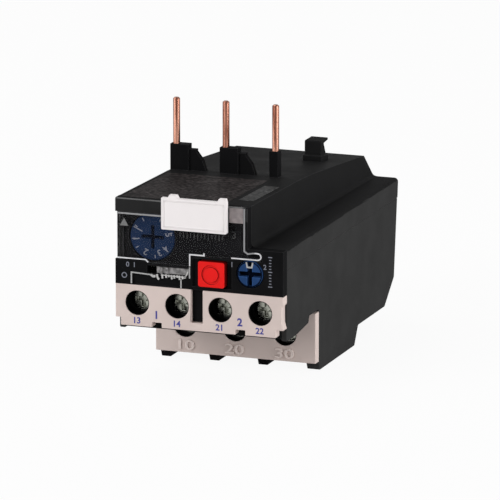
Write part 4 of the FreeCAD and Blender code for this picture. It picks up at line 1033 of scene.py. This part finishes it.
@dataclass
class PanelMarks:
    """Generic marks printed on the front panel, and the milky ridge under its window, bright as
    painted glints.
    """

    pocket: float = 1.4
    ridge_rise: float = 0.1
    teeth: tuple[float, ...] = (-9.9, -8.9, -8.2, -7.4, -6.7, -5.9, -5.3, -4.5, -3.8)
    numerals: tuple[tuple[float, float, str], ...] = (
        (8.8, 32.8, "1"), (17.6, 32.8, "2"), (-19.2, 30.6, "0"), (-17.4, 30.6, "1"))
    ladder_x: float = 19.0
    ladder_z: float = 27.9
    ladder_pitch: float = 0.76
    ladder_steps: int = 11
    row_x: float = -5.6
    row_z: float = 38.6
    row_pitch: float = 0.95
    row_steps: int = 13

    def lines(self, low: float, high: float) -> None:
        """Draws the bent white lines around the window: painted highlights on the edges of its recess.

        Args:
            low: the Y of a mark's front.
            high: the Y of a mark's back.
        """
        ink = Shape()
        ink.stroke([(-18.2, 25.8), (-18.2, 28.7), (-12.7, 28.45)], 0.35, low, high)
        ink.stroke([(-4.85, 27.9), (-4.85, 25.6)], 0.35, low, high)
        ink.stroke([(-2.55, 28.3), (-2.55, 31.2)], 0.34, low, high)
        ink.save("panel_lines", Finish.WHITE_INK)

    def ridge(self, low: float, high: float) -> None:
        """Adds the milky toothed ridge under the window, whose brightness paints the glints of a clear
        border there.

        Args:
            low: the Y of a mark's front.
            high: the Y of a mark's back.
        """
        ridge = Shape()
        top = low - self.ridge_rise
        ridge.stroke([(-12.9, 28.5), (-12.3, 28.1), (-11.7, 28.2)], 0.6, top, high)
        ridge.stroke([(-11.3, 28.75), (-11.15, 28.0), (-10.75, 27.4)], 0.5, top, high)
        for number, x in enumerate(self.teeth):
            drop = 0.25 * (number % 3)
            ridge.stroke([(x, 28.85), (x + 0.12, 27.75 + drop)], 0.42, top, high)
        ridge.stroke([(-10.2, 28.65), (-3.5, 28.5)], 0.24, low - 0.08, high)
        ridge.stroke([(-4.1, 28.2), (-3.4, 29.0), (-2.9, 30.1)], 0.3, top, high)
        ridge.save("window_ridge_glints", Finish.MILKY)

    def fine_marks(self, front: float, low: float, high: float) -> None:
        """Prints the numerals, the small ring and the ladder beside the knob.

        Args:
            front: the Y of the panel's front.
            low: the Y of a mark's front.
            high: the Y of a mark's back.
        """
        fine = Shape()
        for x, z, text in self.numerals:
            fine.words(text, 1.3, Facing.FRONT.at(x, front - SKIN, z), bold=0.02)
        fine.ring((-20.1, low, 27.8), 0.75, 0.5, 0.03, 24)
        for step in range(self.ladder_steps):
            reach = 0.55 if step % 5 == 0 else 0.3
            z = self.ladder_z + self.ladder_pitch * step
            fine.block((self.ladder_x - reach, low, z - 0.12), (self.ladder_x + reach, high, z + 0.12))
        fine.save("panel_marks", Finish.PALE_INK)

    def faint_marks(self, floor: float) -> None:
        """Prints the faint row of lines and a numeral in the cover's pocket.

        Args:
            floor: the Y of the pocket's floor.
        """
        faint = Shape()
        faint.words("3", 1.9, Facing.FRONT.at(8.85, floor - SKIN, 40.0), bold=0.02)
        for step in range(self.row_steps):
            x = self.row_x + self.row_pitch * step
            foot = self.row_z - 0.2 * (step % 3)
            faint.block((x - 0.14, floor - PRINT, foot), (x + 0.14, floor + PRINT, 39.8))
        faint.save("panel_faint_marks", Finish.GREY_INK)

    def build(self) -> None:
        """Draws the painted highlights and the glinting ridge by the window, and prints the fine marks
        and the faint ones.
        """
        front = low_y("front_panel")
        low, high = front - PRINT, front + PRINT
        self.lines(low, high)
        self.ridge(low, high)
        self.fine_marks(front, low, high)
        self.faint_marks(front + self.pocket)


@dataclass(frozen=True)
class Spring:
    """A coil spring that shortens towards its seat as a joint moves; only its wire is dressed,
    standing still.
    """

    node: str
    joint: str
    axis: Place
    length: float
    travel: float
    seat_at_high_end: bool

    def build(self) -> None:
        """Dresses the spring."""
        wire = Shape(self.node).save(self.node + "_wire", Finish.STEEL)
        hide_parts(self.node)
        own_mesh(wire)


@dataclass
class InnerWorks:
    """The pins on top and the works inside."""

    plastic: tuple[str, ...] = (
        "dial_cam", "contact_carrier", "mechanism_frame", "push_slide", "differential_slide",
        "differential_lever", "trip_lever", "reset_plunger")
    steel: tuple[str, ...] = ("lever_pivot_pin", "control_clamp_washers")
    springs: tuple[Spring, ...] = (
        Spring("stop_spring", "stop_press", (0, 1, 0), 7.72, 2.05, True),
        Spring("reset_spring", "reset_press", (0, 1, 0), 6.61, 2.05, True),
        Spring("test_spring", "test_slide", (1, 0, 0), 3.62, 2.25, False),
        Spring("snap_spring", "contact_travel", (0, 1, 0), 2.70, 1.25, False))
    brass: tuple[str, ...] = ("no_terminal_left", "no_terminal_right", "nc_terminal_left",
                              "nc_terminal_right", "nc_contact_bridge", "no_contact_bridge")
    poles: tuple[int, ...] = (1, 2, 3)

    def paint(self, nodes: tuple[str, ...], finish: Finish) -> None:
        """Gives nodes a finish.

        Args:
            nodes: the nodes' names.
            finish: their finish.
        """
        for node in nodes:
            data = bpy.data.objects[node].data
            data.materials.clear()
            data.materials.append(finish.material())

    def build(self) -> None:
        """Dresses the works, pole by pole."""
        self.paint(self.plastic, Finish.INNER)
        self.paint(self.steel, Finish.STEEL)
        self.paint(self.brass, Finish.BRASS)
        self.paint(("compensating_strip",), Finish.BIMETAL)
        self.paint(("cover_hinge_pin",), Finish.BLACKED)
        for spring in self.springs:
            spring.build()
        for pole in self.poles:
            rounded("line_pin_%d" % pole, Finish.COPPER, "casing", 0.1)
            self.paint(("heater_winding_%d" % pole, "load_bar_%d" % pole), Finish.BRASS)
            self.paint(("bimetal_strip_%d" % pole,), Finish.BIMETAL)
            self.paint(("bimetal_bracket_%d" % pole, "load_clamp_%d" % pole), Finish.STEEL)


# ------------------------------------------------------------------ studio


@dataclass
class Studio:
    """The pale floor, soft lamps, white world and long-lens camera."""

    target: Place = (0.0, FRONT, 22.0)
    azimuth: float = 0.3489
    elevation: float = 0.2352
    distance: float = 1760.29
    across: float = 12.805
    upward: float = 13.517
    lens: float = 504.0
    lamp_side: float = 0.5
    aim: Place = (0.0, 0.0, 0.025)
    surround: float = 0.45
    pale: float = 0.80
    glow: float = 0.93
    floor_reach: float = 6.0
    floor_drop: float = 0.00005

    def camera(self) -> None:
        """Sets up the camera."""
        turn, lift = self.azimuth, self.elevation
        back = Vector((math.sin(turn) * math.cos(lift), -math.cos(turn) * math.cos(lift),
                       math.sin(lift)))
        right = Vector((math.cos(turn), math.sin(turn), 0))
        up = Vector((-math.sin(lift) * math.sin(turn), math.sin(lift) * math.cos(turn),
                     math.cos(lift)))
        place = Vector(self.target) + self.distance * back + self.across * right + self.upward * up
        data = bpy.data.cameras.new("camera")
        data.lens = self.lens
        data.sensor_width = 36.0
        data.clip_start = 0.05
        data.clip_end = 50.0
        camera = bpy.data.objects.new("camera", data)
        matrix = Matrix((right, up, back)).transposed().to_4x4()
        camera.matrix_world = Matrix.Translation(place * MM) @ matrix
        link(camera)
        bpy.context.scene.camera = camera

    def lamp(self, name: str, place: Place, power: float) -> None:
        """Adds a square soft lamp that looks at the relay.

        Args:
            name: the lamp's name.
            place: its place in metres.
            power: its power in watts.
        """
        data = bpy.data.lights.new(name, "AREA")
        data.size = self.lamp_side
        data.energy = power
        lamp = bpy.data.objects.new(name, data)
        look = (Vector(self.aim) - Vector(place)).to_track_quat("-Z", "Y")
        lamp.matrix_world = Matrix.Translation(place) @ look.to_matrix().to_4x4()
        link(lamp)

    def seen(self, tree: bpy.types.NodeTree) -> Socket:
        """Adds a socket that is 1 for camera, glossy and transmitted rays.

        Args:
            tree: the material's or the world's nodes.

        Returns:
            The socket.
        """
        path = tree.nodes.new("ShaderNodeLightPath")
        total = path.outputs["Is Camera Ray"]
        for name in ("Is Glossy Ray", "Is Transmission Ray"):
            node = tree.nodes.new("ShaderNodeMath")
            node.operation = "MAXIMUM"
            tree.links.new(total, node.inputs[0])
            tree.links.new(path.outputs[name], node.inputs[1])
            total = node.outputs[0]
        return total

    def world(self) -> None:
        """Sets a white surround that lights softly."""
        world = bpy.data.worlds.new("surround")
        bpy.context.scene.world = world
        world.use_nodes = True
        tree = world.node_tree
        background = tree.nodes["Background"]
        background.inputs["Color"].default_value = (1, 1, 1, 1)
        span = tree.nodes.new("ShaderNodeMapRange")
        span.inputs["To Min"].default_value = self.surround
        span.inputs["To Max"].default_value = 1.0
        tree.links.new(self.seen(tree), span.inputs["Value"])
        tree.links.new(span.outputs["Result"], background.inputs["Strength"])

    def floor(self) -> None:
        """Lays a wide pale floor that keeps the relay's shadow."""
        bm = bmesh.new()
        bmesh.ops.create_grid(bm, x_segments=1, y_segments=1, size=self.floor_reach)
        bmesh.ops.translate(bm, vec=(0, 0, -self.floor_drop), verts=bm.verts[:])
        data = bpy.data.meshes.new("floor")
        bm.to_mesh(data)
        bm.free()
        floor = bpy.data.objects.new("floor", data)
        link(floor)
        material = bpy.data.materials.new("pale_floor")
        material.use_nodes = True
        tree = material.node_tree
        shader = tree.nodes["Principled BSDF"]
        shader.inputs["Base Color"].default_value = (self.pale, self.pale, self.pale, 1)
        shader.inputs["Roughness"].default_value = 0.8
        glow = tree.nodes.new("ShaderNodeEmission")
        glow.inputs["Strength"].default_value = 1.0
        mix = tree.nodes.new("ShaderNodeMixShader")
        share = tree.nodes.new("ShaderNodeMapRange")
        share.inputs["To Max"].default_value = self.glow
        tree.links.new(self.seen(tree), share.inputs["Value"])
        tree.links.new(share.outputs["Result"], mix.inputs["Fac"])
        tree.links.new(shader.outputs["BSDF"], mix.inputs[1])
        tree.links.new(glow.outputs["Emission"], mix.inputs[2])
        tree.links.new(mix.outputs["Shader"], tree.nodes["Material Output"].inputs["Surface"])
        data.materials.append(material)

    def build(self) -> None:
        """Sets the camera, world, floor and lamps."""
        self.camera()
        self.world()
        self.floor()
        self.lamp("key", (-0.70, -0.80, 0.38), 6.0)
        self.lamp("fill", (0.98, -0.12, 0.10), 8.4)
        self.lamp("top", (-0.45, 0.15, 0.85), 2.0)
        bpy.context.scene.view_settings.view_transform = "Standard"


def main() -> None:
    """Builds the studio and every sub-assembly."""
    logging.basicConfig(level=logging.INFO, format="%(name)s: %(message)s")
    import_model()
    for part in (Studio(), Casing(), TerminalStrips(), Cover(), Controls(), PanelMarks(),
                 InnerWorks()):
        part.build()
        log.info("built %s", type(part).__name__)


if __name__ == "__main__":
    main()
